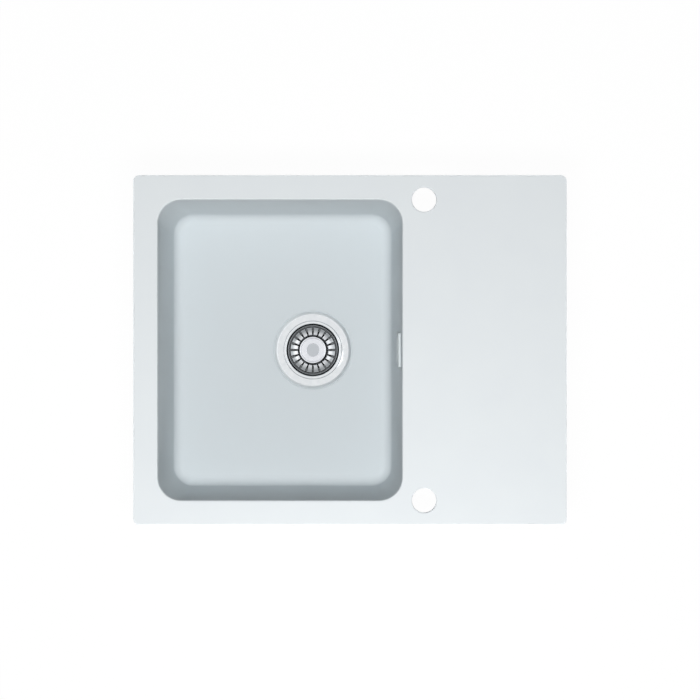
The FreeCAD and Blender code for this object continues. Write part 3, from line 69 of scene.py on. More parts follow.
RECORD = frame["record"]
DECK_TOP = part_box("sink_body")[1].z
DRAIN = middle("strainer_flange")
BODIES = RECORD["behaviour"]["bodies"]
BODY_OF = {node: body for body, nodes in BODIES.items() for node in nodes}
SLOT_OF = {row["node"]: row["material_slot"] for row in RECORD["subparts"]}
CLAMP_COUNT = sum(name.startswith("clamp_nut_") for name in frame["nodes"])


# --- materials -------------------------------------------------------------------------------------


def linear(code, alpha=1.0):
    """Linear colour from an sRGB hex code."""
    parts = [int(code[index:index + 2], 16) / 255 for index in (0, 2, 4)]
    curve = [part / 12.92 if part <= 0.04045 else ((part + 0.055) / 1.055) ** 2.4 for part in parts]
    return (*curve, alpha)


def add(tree, kind, inputs=None, **settings):
    """Adds a shader node, with its settings and with values or links for its inputs."""
    made = tree.nodes.new(kind)
    for name, value in settings.items():
        setattr(made, name, value)
    for name, value in (inputs or {}).items():
        socket = made.inputs[name]
        if isinstance(value, bpy.types.NodeSocket):
            tree.links.new(value, socket)
        else:
            socket.default_value = value
    return made


def surface(name, **values):
    """A material with one Principled shader, and the object coordinates for its patterns."""
    material = bpy.data.materials.new(name)
    material.use_nodes = True
    tree = material.node_tree
    tree.nodes.clear()
    shader = add(tree, "ShaderNodeBsdfPrincipled", values)
    output = add(tree, "ShaderNodeOutputMaterial")
    tree.links.new(shader.outputs["BSDF"], output.inputs["Surface"])
    place = add(tree, "ShaderNodeTexCoord").outputs["Object"]
    return material, tree, shader, place


def vary(tree, shader, pattern, colours, roughness):
    """Base colour and roughness, both returned, that follow a noise with its middle range drawn out."""
    low, high = 0.3, 0.7
    even = add(tree, "ShaderNodeMapRange", {"Value": pattern, "From Min": low, "From Max": high})
    shares = even.outputs["Result"]
    dark, light = (linear(code) for code in colours)
    colour = add(tree, "ShaderNodeMix", {0: shares, 6: dark, 7: light}, data_type="RGBA").outputs[2]
    tree.links.new(colour, shader.inputs["Base Color"])
    smooth, rough = roughness
    gloss = add(tree, "ShaderNodeMapRange", {"Value": shares, "To Min": smooth, "To Max": rough})
    tree.links.new(gloss.outputs["Result"], shader.inputs["Roughness"])
    return colour, gloss.outputs["Result"]


def emboss(tree, shader, height, depth, strength):
    """Bump of a given depth from a height pattern."""
    bump = add(tree, "ShaderNodeBump", {"Height": height, "Strength": strength, "Distance": depth})
    tree.links.new(bump.outputs["Normal"], shader.inputs["Normal"])


def round_drain(tree, place):
    """Coordinates centred on the drain's axis, and the distance from that axis."""
    centred = add(tree, "ShaderNodeMapping", {"Vector": place, "Location": (-DRAIN.x, -DRAIN.y, 0)})
    flat = add(
        tree, "ShaderNodeVectorMath", {0: centred.outputs[0], 1: (1, 1, 0)}, operation="MULTIPLY"
    ).outputs[0]
    return flat, add(tree, "ShaderNodeVectorMath", {0: flat}, operation="LENGTH").outputs["Value"]


def ring_scale(spacing):
    """Scale of a wave texture whose rings lie a given distance apart."""
    return FULL_TURN / 20 / spacing


def quartz_composite():
    """Cast quartz-filled acrylic: satin white with a fine sandy grit, and painted shade that turns it
    greyer below the deck, inside the bowl.
    """
    material, tree, shader, place = surface("quartz_composite_cast", IOR=1.5)
    clouds = add(tree, "ShaderNodeTexNoise", {"Vector": place, "Scale": 1 / (60 * MM), "Detail": 3.0})
    grit = add(tree, "ShaderNodeTexNoise", {"Vector": place, "Scale": 1 / (0.9 * MM), "Detail": 2.0})
    both = add(
        tree, "ShaderNodeMix", {0: 0.5, 2: clouds.outputs["Fac"], 3: grit.outputs["Fac"]}
    ).outputs[0]
    unshaded = vary(tree, shader, both, ("DFE4E7", "E3E8EA"), (0.5, 0.6))[0]
    # Painted shade: from just under the deck downwards the colour blends from the unshaded white into
    # greyer tones on the bowl's walls and floor.
    shade_below, unshaded_above = DECK_TOP - 14 * MM, DECK_TOP - 3 * MM
    height = add(tree, "ShaderNodeSeparateXYZ", {0: place}).outputs["Z"]
    deck = add(
        tree,
        "ShaderNodeMapRange",
        {"Value": height, "From Min": shade_below, "From Max": unshaded_above},
    ).outputs["Result"]
    # The greyer colours of the painted shade inside the bowl.
    shade_dark, shade_light = linear("CED5D8"), linear("D2D8DB")
    shaded = add(
        tree, "ShaderNodeMix", {0: both, 6: shade_dark, 7: shade_light}, data_type="RGBA"
    ).outputs[2]
    colour = add(tree, "ShaderNodeMix", {0: deck, 6: shaded, 7: unshaded}, data_type="RGBA").outputs[2]
    tree.links.new(colour, shader.inputs["Base Color"])
    emboss(tree, shader, grit.outputs["Fac"], 0.05 * MM, 0.15)
    return material


def pressed_stainless():
    """Deep-drawn stainless steel: bright flange, a painted reflection that darkens the petals outwards,
    and painted shade on steep faces, near black where they face inwards.
    """
    material, tree, shader, place = surface("stainless_pressed_polished", Metallic=1.0)
    smudge = add(tree, "ShaderNodeTexNoise", {"Vector": place, "Scale": 1 / (9 * MM), "Detail": 3.0})
    polished, gloss = vary(tree, shader, smudge.outputs["Fac"], ("DDE1E4", "E4E7E9"), (0.1, 0.15))
    flat, radius = round_drain(tree, place)
    basket_edge = 38.5 * MM
    outside = add(
        tree, "ShaderNodeMath", {0: radius, 1: basket_edge}, operation="GREATER_THAN"
    ).outputs[0]
    # Painted reflection: the petals' colour runs from light at their inner tips to dark grey at their
    # roots.
    petal_tip, petal_root = 22.5 * MM, 31 * MM
    rimward = add(
        tree, "ShaderNodeMapRange", {"Value": radius, "From Min": petal_tip, "From Max": petal_root}
    ).outputs["Result"]
    inner, outer = linear("EAECEE"), linear("93979A")
    petal_painted_reflection = add(tree, "ShaderNodeMix", {0: rimward, 6: inner, 7: outer}, data_type="RGBA").outputs[2]
    bright = add(
        tree, "ShaderNodeMix", {0: outside, 6: petal_painted_reflection, 7: polished}, data_type="RGBA"
    ).outputs[2]
    # Painted shade by slope: flat faces keep the bright colour, steep faces take darker colours, near
    # black where they face inwards.
    facing = add(tree, "ShaderNodeNewGeometry").outputs["Normal"]
    upright = add(tree, "ShaderNodeSeparateXYZ", {0: facing}).outputs["Z"]
    lying = add(tree, "ShaderNodeMath", {0: upright}, operation="ABSOLUTE").outputs[0]
    steep_to, flat_from = 0.5, 0.86
    unshaded = add(
        tree, "ShaderNodeMapRange", {"Value": lying, "From Min": steep_to, "From Max": flat_from}
    ).outputs["Result"]
    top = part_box("basket_rim")[1].z
    rim_drop, cup_drop, wall_radius = 2.5 * MM, 17.8 * MM, 35 * MM
    height = add(tree, "ShaderNodeSeparateXYZ", {0: place}).outputs["Z"]
    turned = add(
        tree, "ShaderNodeVectorMath", {0: flat, 1: facing}, operation="DOT_PRODUCT"
    ).outputs["Value"]
    share = add(tree, "ShaderNodeMath", {0: turned, 1: radius}, operation="DIVIDE").outputs[0]
    outward = add(tree, "ShaderNodeMapRange", {"Value": share, "From Max": 0.3}).outputs["Result"]
    beyond = add(
        tree, "ShaderNodeMath", {0: radius, 1: wall_radius}, operation="GREATER_THAN"
    ).outputs[0]
    under = add(
        tree, "ShaderNodeMath", {0: height, 1: top - cup_drop}, operation="LESS_THAN"
    ).outputs[0]
    either = add(tree, "ShaderNodeMath", {0: beyond, 1: under}, operation="MAXIMUM").outputs[0]
    low = add(
        tree, "ShaderNodeMath", {0: height, 1: top - rim_drop}, operation="LESS_THAN"
    ).outputs[0]
    outer_wall = add(tree, "ShaderNodeMath", {0: either, 1: low}, operation="MULTIPLY").outputs[0]
    # drawn marks the steep outward faces of the outer walls, which take a mid grey; every other steep
    # face takes the near-black painted shade.
    drawn = add(tree, "ShaderNodeMath", {0: outer_wall, 1: outward}, operation="MULTIPLY").outputs[0]
    # Near black painted shade for the gaps and inner walls of the well and the basket, mid grey for the
    # outward walls.
    painted_shade_dark, steel = linear("34383B"), linear("C6CACC")
    steep = add(tree, "ShaderNodeMix", {0: drawn, 6: painted_shade_dark, 7: steel}, data_type="RGBA").outputs[2]
    colour = add(tree, "ShaderNodeMix", {0: unshaded, 6: steep, 7: bright}, data_type="RGBA").outputs[2]
    rim_start, rim_end = 52.3 * MM, 54.3 * MM
    rim = add(
        tree, "ShaderNodeMapRange", {"Value": radius, "From Min": rim_start, "From Max": rim_end}
    ).outputs["Result"]
    edge = linear("E2E6E8")
    whole = add(tree, "ShaderNodeMix", {0: rim, 6: colour, 7: edge}, data_type="RGBA").outputs[2]
    tree.links.new(whole, shader.inputs["Base Color"])
    rim_roughness = 0.6
    rolled = add(tree, "ShaderNodeMix", {0: rim, 2: gloss, 3: rim_roughness}).outputs[0]
    tree.links.new(rolled, shader.inputs["Roughness"])
    rings = add(
        tree,
        "ShaderNodeTexWave",
        {"Vector": flat, "Scale": ring_scale(0.5 * MM), "Distortion": 0.4},
        wave_type="RINGS",
        rings_direction="SPHERICAL",
    )
    emboss(tree, shader, rings.outputs["Fac"], 0.01 * MM, 0.1)
    return material


def satin_chrome():
    """Satin chrome over the moulded knob: finely turned, and a shade greyer on the middle disc."""
    material, tree, shader, place = surface("chrome_satin", Metallic=1.0)
    smudge = add(tree, "ShaderNodeTexNoise", {"Vector": place, "Scale": 1 / (6 * MM), "Detail": 3.0})
    cap = vary(tree, shader, smudge.outputs["Fac"], ("DFE1E7", "E6E8EC"), (0.14, 0.2))[0]
    flat, radius = round_drain(tree, place)
    disc_edge, cap_edge = 9.1 * MM, 9.5 * MM
    outside = add(
        tree, "ShaderNodeMapRange", {"Value": radius, "From Min": disc_edge, "From Max": cap_edge}
    ).outputs["Result"]
    disc = linear("BFC3C8")
    colour = add(tree, "ShaderNodeMix", {0: outside, 6: disc, 7: cap}, data_type="RGBA").outputs[2]
    tree.links.new(colour, shader.inputs["Base Color"])
    rings = add(
        tree,
        "ShaderNodeTexWave",
        {"Vector": flat, "Scale": ring_scale(0.4 * MM), "Distortion": 0.3},
        wave_type="RINGS",
        rings_direction="SPHERICAL",
    )
    emboss(tree, shader, rings.outputs["Fac"], 0.01 * MM, 0.12)
    return material


def plain_stainless():
    """Turned and drawn stainless fixings: grey, with fine turning marks."""
    material, tree, shader, place = surface("stainless_turned", Metallic=1.0)
    marks = add(tree, "ShaderNodeTexNoise", {"Vector": place, "Scale": 1 / (0.8 * MM), "Detail": 3.0})
    vary(tree, shader, marks.outputs["Fac"], ("C4C5C4", "D2D2D0"), (0.24, 0.36))
    emboss(tree, shader, marks.outputs["Fac"], 0.01 * MM, 0.1)
    return material


def zinc_plated_steel():
    """Bright zinc over pressed steel: cool grey, cloudy spangle, a little rough."""
    material, tree, shader, place = surface("steel_zinc_plated", Metallic=1.0)
    spangle = add(tree, "ShaderNodeTexVoronoi", {"Vector": place, "Scale": 1 / (3 * MM)})
    clouds = add(tree, "ShaderNodeTexNoise", {"Vector": place, "Scale": 1 / (4 * MM), "Detail": 4.0})
    both = add(
        tree, "ShaderNodeMix", {0: 0.3, 2: clouds.outputs["Fac"], 3: spangle.outputs["Color"]}
    ).outputs[0]
    vary(tree, shader, both, ("B4B9BC", "CBCFCF"), (0.26, 0.42))
    emboss(tree, shader, clouds.outputs["Fac"], 0.02 * MM, 0.15)
    return material


def turned_brass():
    """Turned brass inserts: warm yellow, drawn slightly uneven by the tool."""
    material, tree, shader, place = surface("brass_turned", Metallic=1.0)
    marks = add(tree, "ShaderNodeTexNoise", {"Vector": place, "Scale": 1 / (1.5 * MM), "Detail": 3.0})
    vary(tree, shader, marks.outputs["Fac"], ("C9A45C", "DBBB78"), (0.24, 0.34))
    return material


def moulded_rubber():
    """Moulded EPDM rubber: near black, matt, with a faint dusty bloom."""
    material, tree, shader, place = surface("epdm_moulded", IOR=1.52)
    bloom = add(tree, "ShaderNodeTexNoise", {"Vector": place, "Scale": 1 / (5 * MM), "Detail": 4.0})
    grain = add(tree, "ShaderNodeTexNoise", {"Vector": place, "Scale": 1 / (0.5 * MM), "Detail": 2.0})
    vary(tree, shader, bloom.outputs["Fac"], ("1C1D1E", "2A2B2C"), (0.55, 0.72))
    emboss(tree, shader, grain.outputs["Fac"], 0.03 * MM, 0.2)
    return material


def seal_foam():
    """Closed-cell polyethylene foam: dark grey, with its cells cut open at the surface."""
    material, tree, shader, place = surface("polyethylene_foam", IOR=1.45)
    cells = add(tree, "ShaderNodeTexVoronoi", {"Vector": place, "Scale": 1 / (0.8 * MM)})
    vary(tree, shader, cells.outputs["Distance"], ("34363A", "4A4D50"), (0.8, 0.9))
    emboss(tree, shader, cells.outputs["Distance"], 0.1 * MM, 0.4)
    return material


def moulded_polypropylene():
    """Moulded white polypropylene: slightly warm, waxy satin, with spark-eroded mould grain."""
    material, tree, shader, place = surface("polypropylene_moulded", IOR=1.49)
    clouds = add(tree, "ShaderNodeTexNoise", {"Vector": place, "Scale": 1 / (18 * MM), "Detail": 2.0})
    grain = add(tree, "ShaderNodeTexNoise", {"Vector": place, "Scale": 1 / (0.6 * MM), "Detail": 2.0})
    vary(tree, shader, clouds.outputs["Fac"], ("DDDDD8", "E6E6E2"), (0.36, 0.46))
    emboss(tree, shader, grain.outputs["Fac"], 0.03 * MM, 0.12)
    return material


def matched_polypropylene():
    """Moulded polypropylene in the greyer tone of the sink's painted shade below the deck: satin, with
    a fine mould grain.
    """
    material, tree, shader, place = surface("polypropylene_matched", IOR=1.49)
    clouds = add(tree, "ShaderNodeTexNoise", {"Vector": place, "Scale": 1 / (14 * MM), "Detail": 2.0})
    grain = add(tree, "ShaderNodeTexNoise", {"Vector": place, "Scale": 1 / (0.6 * MM), "Detail": 2.0})
    # Painted shade: these greys copy the shaded colour of the bowl's walls, not the sink's unshaded
    # white.
    vary(tree, shader, clouds.outputs["Fac"], ("C9D0D2", "CFD6D8"), (0.36, 0.46))
    emboss(tree, shader, grain.outputs["Fac"], 0.02 * MM, 0.1)
    return material


def blown_polypropylene():
    """Blow-moulded polypropylene hose: cool grey satin, slightly streaky."""
    material, tree, shader, place = surface("polypropylene_blown", IOR=1.49)
    streaks = add(tree, "ShaderNodeTexNoise", {"Vector": place, "Scale": 1 / (12 * MM), "Detail": 4.0})
    vary(tree, shader, streaks.outputs["Fac"], ("B9BCBE", "C7C9CA"), (0.3, 0.42))
    return material


FINISHES = {
    "quartz_composite": quartz_composite(),
    "seal_foam": seal_foam(),
    "insert_brass": turned_brass(),
    "zinc_steel": zinc_plated_steel(),
    "pressed_stainless": pressed_stainless(),
    "knob_chrome": satin_chrome(),
    "stainless_fixings": plain_stainless(),
    "seal_rubber": moulded_rubber(),
    "waste_polypropylene": moulded_polypropylene(),
    "hose_polypropylene": blown_polypropylene(),
    "matched_polypropylene": matched_polypropylene(),
}


def finish_nodes():
    """Gives every CAD node the finish of its slot."""
    for node, slot in SLOT_OF.items():
        materials = frame["nodes"][node].data.materials
        materials.clear()
        materials.append(FINISHES[slot])


finish_nodes()


# --- ways to make a piece --------------------------------------------------------------------------


def rounded(corners, steps=5):
    """Outline in metres from corners in millimetres, with an arc where a corner has a radius."""
    points = []
    for index, (x, y, *radius) in enumerate(corners):
        corner = Vector((x, y))
        if not radius:
            points.append(corner)
            continue
        before = (Vector(corners[index - 1][:2]) - corner).normalized()
        after = (Vector(corners[(index + 1) % len(corners)][:2]) - corner).normalized()
        half = before.angle(after) / 2
        centre = corner + (before + after).normalized() * radius[0] / math.sin(half)
        reach = radius[0] / math.tan(half)
        start, end = corner + before * reach - centre, corner + after * reach - centre
        points += [centre + start.slerp(end, step / steps) for step in range(steps + 1)]
    return [point * MM for point in points]


def spun(outline, steps=96):
    """A closed outline of (radius, height) points, turned about the Z axis."""
    made = bmesh.new()
    points = [made.verts.new((radius, 0, height)) for radius, height in outline]
    edges = [made.edges.new(ends) for ends in zip(points, points[1:] + points[:1])]
    bmesh.ops.spin(
        made,
        geom=points + edges,
        cent=(0, 0, 0),
        axis=(0, 0, 1),
        angle=FULL_TURN,
        steps=steps,
        use_merge=True,
    )
    bmesh.ops.remove_doubles(made, verts=made.verts, dist=0.001 * MM)
    bmesh.ops.dissolve_degenerate(made, dist=0.001 * MM, edges=made.edges)
    bmesh.ops.recalc_face_normals(made, faces=made.faces)
    return made


def thread(radius, depth, pitch, length, steps=24):
    """A screw thread's ridge, wound down the Z axis from the origin and closed at both ends."""
    root, crest = radius - depth * 1.2, radius
    ridge = [(root, 0), (crest, -0.4 * pitch), (crest, -0.5 * pitch), (root, -0.9 * pitch)]
    made = bmesh.new()
    face = made.faces.new([made.verts.new((across, 0, height)) for across, height in ridge])
    turns = length / pitch - 1
    bmesh.ops.spin(
        made,
        geom=[face, *face.verts, *face.edges],
        cent=(0, 0, 0),
        axis=(0, 0, 1),
        dvec=(0, 0, -pitch / steps),
        angle=FULL_TURN * turns,
        steps=round(steps * turns),
    )
    bmesh.ops.recalc_face_normals(made, faces=made.faces)
    return made


def slab(outline, thickness):
    """A flat outline in the XZ plane, given a thickness along Y, half each way."""
    made = bmesh.new()
    corners = [made.verts.new((x, -thickness / 2, z)) for x, z in outline]
    face = made.faces.new(corners)
    raised = bmesh.ops.extrude_face_region(made, geom=[face])["geom"]
    moved = [item for item in raised if isinstance(item, bmesh.types.BMVert)]
    bmesh.ops.translate(made, verts=moved, vec=(0, thickness, 0))
    bmesh.ops.recalc_face_normals(made, faces=made.faces)
    return made


def softened(made, width, segments=2):
    """Rounds every sharp edge of a shape."""
    sharp = [edge for edge in made.edges if edge.calc_face_angle(0) > math.radians(35)]
    bmesh.ops.bevel(
        made,
        geom=sharp,
        offset=width,
        segments=segments,
        profile=0.5,
        affect="EDGES",
        material=-1,
        clamp_overlap=True,
    )
    return made


def moved(made, *steps):
    """Applies transforms to a whole shape, the last one first."""
    matrix = Matrix.Identity(4)
    for step in steps:
        matrix = matrix @ step
    bmesh.ops.transform(made, matrix=matrix, verts=made.verts)
    return made


def joined(*parts):
    """One shape from several."""
    whole = bmesh.new()
    for part in parts:
        mesh = bpy.data.meshes.new("part")
        part.to_mesh(mesh)
        part.free()
        whole.from_mesh(mesh)
        bpy.data.meshes.remove(mesh)
    return whole


def repeated(made, places):
    """One shape made of copies of another, each moved to a place."""
    mesh = bpy.data.meshes.new("pattern")
    made.to_mesh(mesh)
    made.free()
    whole = bmesh.new()
    for place in places:
        count = len(whole.verts)
        whole.from_mesh(mesh)
        bmesh.ops.translate(whole, verts=whole.verts[count:], vec=place)
    bpy.data.meshes.remove(mesh)
    return whole


def merged(node):
    """A copy of a node's mesh with its corners joined and its flat faces whole."""
    made = bmesh.new()
    made.from_mesh(frame["nodes"][node].data)
    bmesh.ops.remove_doubles(made, verts=made.verts, dist=0.002 * MM)
    bmesh.ops.dissolve_limit(
        made, angle_limit=math.radians(0.2), verts=made.verts, edges=made.edges
    )
    return made


def shown(made, name, *nodes, sharp=35):
    """Shows a shape as a piece that stands for CAD nodes and takes their body and their slot."""
    mesh = bpy.data.meshes.new(name)
    made.to_mesh(mesh)
    made.free()
    if "custom_normal" in mesh.attributes:
        mesh.attributes.remove(mesh.attributes["custom_normal"])
    mesh.shade_smooth()
    mesh.set_sharp_from_angle(angle=math.radians(sharp))
    mesh.materials.clear()
    mesh.materials.append(FINISHES[SLOT_OF[nodes[0]]])
    piece = bpy.data.objects.new(name, mesh)
    scene.collection.objects.link(piece)
    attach(piece, BODY_OF[nodes[0]])
    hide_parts(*nodes)
    return piece


def eased(node, width, segments=2):
    """A node's copy with its sharp edges rounded over, as a mould or a tumbler leaves them."""
    piece = shown(merged(node), f"{node}_eased", node)
    edges = piece.modifiers.new("eased_edges", "BEVEL")
    edges.width = width
    edges.segments = segments
    edges.limit_method = "ANGLE"
    edges.angle_limit = math.radians(35)
    edges.harden_normals = True
    return piece


# --- strainer --------------------------------------------------------------------------------------


def make_strainer_dish():
    """The pressed dish, smooth all round."""
    shown(merged("strainer_flange"), "strainer_dish", "strainer_flange", sharp=50)


def petal_section(petal_outer, petal_inner, gutter, petal_foot, along):
    """The basket's sheet in section, from the rolled rim in to the stem, in millimetres."""
    rim_middle, rim_round = 36.7, 0.8
    rim_steps = 6
    turns = [math.pi * step / rim_steps for step in range(rim_steps + 1)]
    rim = [
        (rim_middle + rim_round * math.cos(turn), rim_round * (math.sin(turn) - 1)) for turn in turns
    ]
    floor = gutter - 0.9
    wall = [(35.8, -5), (35.75, -9), (35.75, gutter - 0.4), (35.5, floor), (35.1, floor)]
    sag = 1.8
    petals = []
    for step in range(along + 1):
        share = step / along
        radius = petal_outer + (petal_inner - petal_outer) * share
        height = petal_foot + (gutter - petal_foot) * (1 - share) ** sag
        petals.append((radius, height))
    cup = [(20.5, -18.4), (20.3, -21.5), (20.2, -24.6), (19.6, -25.7)]
    cup_floor = [(18.2, -26), (12, -26), (4.1, -26)]
    return rim + wall + petals + cup + cup_floor


def make_strainer_basket():
    """The pressed basket: rolled rim, steep wall, and pillowed petals with open slots between."""
    petal_count, across, along = 20, 16, 16
    petal_outer, petal_inner, gutter, petal_foot = 34.9, 20.7, -13.4, -17.0
    crown, side_fall, inner_fall, outer_fall = 1.4, 12, 30, 14
    sector = FULL_TURN / petal_count
    half_petal = sector * (0.5 - 1 / across)
    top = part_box("basket_rim")[1].z
    made = bmesh.new()
    section = petal_section(petal_outer, petal_inner, gutter, petal_foot, along)
    points = [made.verts.new((radius * MM, 0, height * MM)) for radius, height in section]
    edges = [made.edges.new(ends) for ends in zip(points, points[1:])]
    bmesh.ops.spin(
        made, geom=points + edges, cent=(0, 0, 0), axis=(0, 0, 1), angle=sector, steps=across
    )

    def petal_place(point):
        """Where a point lies on the petal: 0 to 1 inwards, and -1 to 1 across."""
        radius = math.hypot(point.x, point.y) / MM
        inward = (petal_outer - radius) / (petal_outer - petal_inner)
        return inward, (math.atan2(point.y, point.x) - sector / 2) / half_petal

    slot_faces = []
    for face in made.faces:
        inward, aside = petal_place(face.calc_center_median())
        if 0 < inward < 1 and abs(aside) > 1:
            slot_faces.append(face)
    bmesh.ops.delete(made, geom=slot_faces, context="FACES")
    for vertex in made.verts:
        inward, aside = petal_place(vertex.co)
        if 0 < inward < 1 and abs(aside) < 1.05:
            across_share = 1 - min(1, abs(aside)) ** side_fall
            along_share = (1 - inward ** inner_fall) * (1 - (1 - inward) ** outer_fall)
            vertex.co.z += crown * across_share * along_share * MM
    bmesh.ops.spin(
        made,
        geom=made.verts[:] + made.edges[:] + made.faces[:],
        cent=(0, 0, 0),
        axis=(0, 0, 1),
        angle=FULL_TURN - sector,
        steps=petal_count - 1,
        use_duplicate=True,
    )
    bmesh.ops.remove_doubles(made, verts=made.verts, dist=0.005 * MM)
    bmesh.ops.recalc_face_normals(made, faces=made.faces)
    lowest = min(made.faces, key=lambda face: face.calc_center_median().xy.length)
    if lowest.normal.z < 0:
        bmesh.ops.reverse_faces(made, faces=made.faces)
    moved(made, Matrix.Translation((DRAIN.x, DRAIN.y, top)))
    piece = shown(made, "strainer_basket", "basket_rim", "basket_cup", sharp=60)
    sheet = piece.modifiers.new("sheet", "SOLIDIFY")
    sheet.thickness = 0.7 * MM
    sheet.offset = -1


def make_knob():
    """The knob's cap: dished, with a bright raised rim and a plain raised disc in the middle."""
    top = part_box("basket_knob")[1]
    outline = rounded(
        [
            (0, -4.5),
            (19.7, -4.5, 1.2),
            (19.7, 0, 0.6),
            (18.1, 0, 0.5),
            (17.2, -0.8, 0.6),
            (10.2, -0.8, 0.1),
            (9.9, -1.1, 0.1),
            (9.5, -1.1, 0.1),
            (9.3, -0.5, 0.15),
            (0, -0.4),
        ]
    )
    made = moved(spun(outline, 128), Matrix.Translation((DRAIN.x, DRAIN.y, top.z)))
    shown(made, "knob_cap", "basket_knob")


def make_plug():
    """The rubber plug: two sealing lips round its edge and a hollow for the retainer."""
    low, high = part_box("basket_plug")
    thick = (high.z - low.z) / MM
    outline = rounded(
        [
            (9, 0),
            (26.2, 0, 0.8),
            (27.5, 0.6, 0.4),
            (27.5, 1.2, 0.3),
            (26.7, 1.8, 0.3),
            (27.5, 2.4, 0.3),
            (27.5, thick - 0.5, 0.3),
            (26.2, thick, 0.5),
            (3, thick),
            (3, 1.9),
            (9, 1.9),
        ]
    )
    made = moved(spun(outline), Matrix.Translation((DRAIN.x, DRAIN.y, low.z)))
    shown(made, "sealing_plug", "basket_plug")


make_strainer_dish()
make_strainer_basket()
make_knob()
make_plug()
eased("knob_neck", 0.4 * MM)


# --- waste under the bowl --------------------------------------------------------------------------


def make_waste_body():
    """The moulded waste body with gussets under its flange and threads on its outlet and spigot."""
    low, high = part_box("waste_body")
    flange_thick, overlap = 5, 0.5
    flange_under, cup, flange_edge = high.z / MM - flange_thick, 46.8, 52.5
    gusset_drop, gusset_thick, gusset_count = 9, 2.2, 12
    outlet, outlet_pitch, outlet_thread = 23.9, 2.309, 26
    spigot, spigot_pitch, spigot_thread = 15, 2.0, 12
    parts = [merged("waste_body")]
    corners = [
        (cup - 1.5, flange_under + overlap),
        (flange_edge, flange_under + overlap),
        (flange_edge, flange_under - 0.8),
        (cup, flange_under - gusset_drop),
        (cup - 1.5, flange_under - gusset_drop),
    ]
    centre = Matrix.Translation((DRAIN.x, DRAIN.y, 0))
    for index in range(gusset_count):
        turn = Matrix.Rotation(FULL_TURN * (index + 0.5) / gusset_count, 4, "Z")
        parts.append(moved(softened(slab(rounded(corners), gusset_thick * MM), 0.4 * MM), centre, turn))
    start = low.z + (outlet_thread + 1.5) * MM
    ridge = thread(outlet * MM, 1.2 * MM, outlet_pitch * MM, outlet_thread * MM, 64)
    parts.append(moved(ridge, Matrix.Translation((DRAIN.x, DRAIN.y, start))))
    level = middle("spigot_seal").z
    ridge = thread(spigot * MM, 0.9 * MM, spigot_pitch * MM, spigot_thread * MM, 48)
    parts.append(
        moved(
            ridge,
            Matrix.Translation((high.x - 1 * MM, 0, level)),
            Matrix.Rotation(QUARTER_TURN, 4, "Y"),
        )
    )
    shown(joined(*parts), "waste_moulding", "waste_body")


make_waste_body()
eased("spigot_nut", 0.4 * MM)
eased("waste_screw", 0.15 * MM)
eased("basket_stem", 0.25 * MM)
eased("basket_retainer", 0.15 * MM)
eased("screw_washer", 0.15 * MM)


# --- overflow --------------------------------------------------------------------------------------


def make_housing():
    """The overflow elbow with gussets between its chamber and its plate."""
    low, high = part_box("overflow_housing")
    plate_thick, side, reach, back = 3, 28, 8, 8
    plate_face, fin_end = low.x / MM + plate_thick, high.x / MM - back
    fin_offset, fin_thick, overlap = 9.6 * MM, 2 * MM, 0.5
    parts = [merged("overflow_housing")]
    corners = [
        (plate_face - overlap, side - 1),
        (fin_end, side - 1),
        (fin_end, side + 0.4),
        (plate_face + 1, side + reach),
        (plate_face - overlap, side + reach),
    ]
    lay = Matrix.Rotation(-QUARTER_TURN, 4, "X")
    for offset in (-fin_offset, fin_offset):
        level = Matrix.Translation((0, 0, middle("overflow_screws").z + offset))
        for mirror in (1, -1):
            flip = Matrix.Scale(mirror, 4, (0, 1, 0))
            fin = moved(softened(slab(rounded(corners), fin_thick), 0.4 * MM), level, flip, lay)
            bmesh.ops.recalc_face_normals(fin, faces=fin.faces)
            parts.append(fin)
    shown(joined(*parts), "overflow_elbow", "overflow_housing")


def hose_bend(made, top, drop, bend):
    """Bends a hose that hangs straight down from the origin: down, a quarter bend, then level."""
    arc = bend * QUARTER_TURN
    for vertex in made.verts:
        along, outward = -vertex.co.z, vertex.co.x
        angle = min(max(along - drop, 0), arc) / bend
        centre = Vector((top.x - bend, top.z - drop))
        x = centre.x + (bend + outward) * math.cos(angle) - max(along - drop - arc, 0)
        z = centre.y - (bend + outward) * math.sin(angle) + max(drop - along, 0)
        vertex.co = Vector((x, top.y + vertex.co.y, z))


def make_hose():
    """The ribbed hose, blown with rounded ribs, with a plain cuff at each end and a smooth bore."""
    low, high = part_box("overflow_hose")
    crest, root, cuff_radius, bore = 13 * MM, 11 * MM, 12 * MM, 9.5 * MM
    bend, cuff, pitch = 50 * MM, 26 * MM, 5 * MM
    top = Vector((high.x - crest, 0, high.z))
    level = low.z + crest
    drop = top.z - level - bend
    length = drop + bend * QUARTER_TURN + top.x - bend - low.x
    ribs = round((length - 2 * cuff) / pitch)
    pitch = (length - 2 * cuff) / ribs
    per_rib, fullness, bore_step = 8, 0.6, 4 * MM
    outline = [(cuff_radius, 0), (cuff_radius, -cuff / 2), (cuff_radius, -cuff)]
    for step in range(1, ribs * per_rib):
        wave = math.cos(FULL_TURN * step / per_rib)
        swell = (1 - math.copysign(abs(wave) ** fullness, wave)) / 2
        outline.append((root + (crest - root) * swell, -cuff - pitch * step / per_rib))
    outline += [(cuff_radius, end - length) for end in (cuff, cuff / 2, 0)]
    bore_steps = round(length / bore_step)
    outline += [(bore, -length * (1 - step / bore_steps)) for step in range(bore_steps + 1)]
    made = spun(outline, 48)
    hose_bend(made, top, drop, bend)
    shown(made, "overflow_hose_ribbed", "overflow_hose", sharp=60)


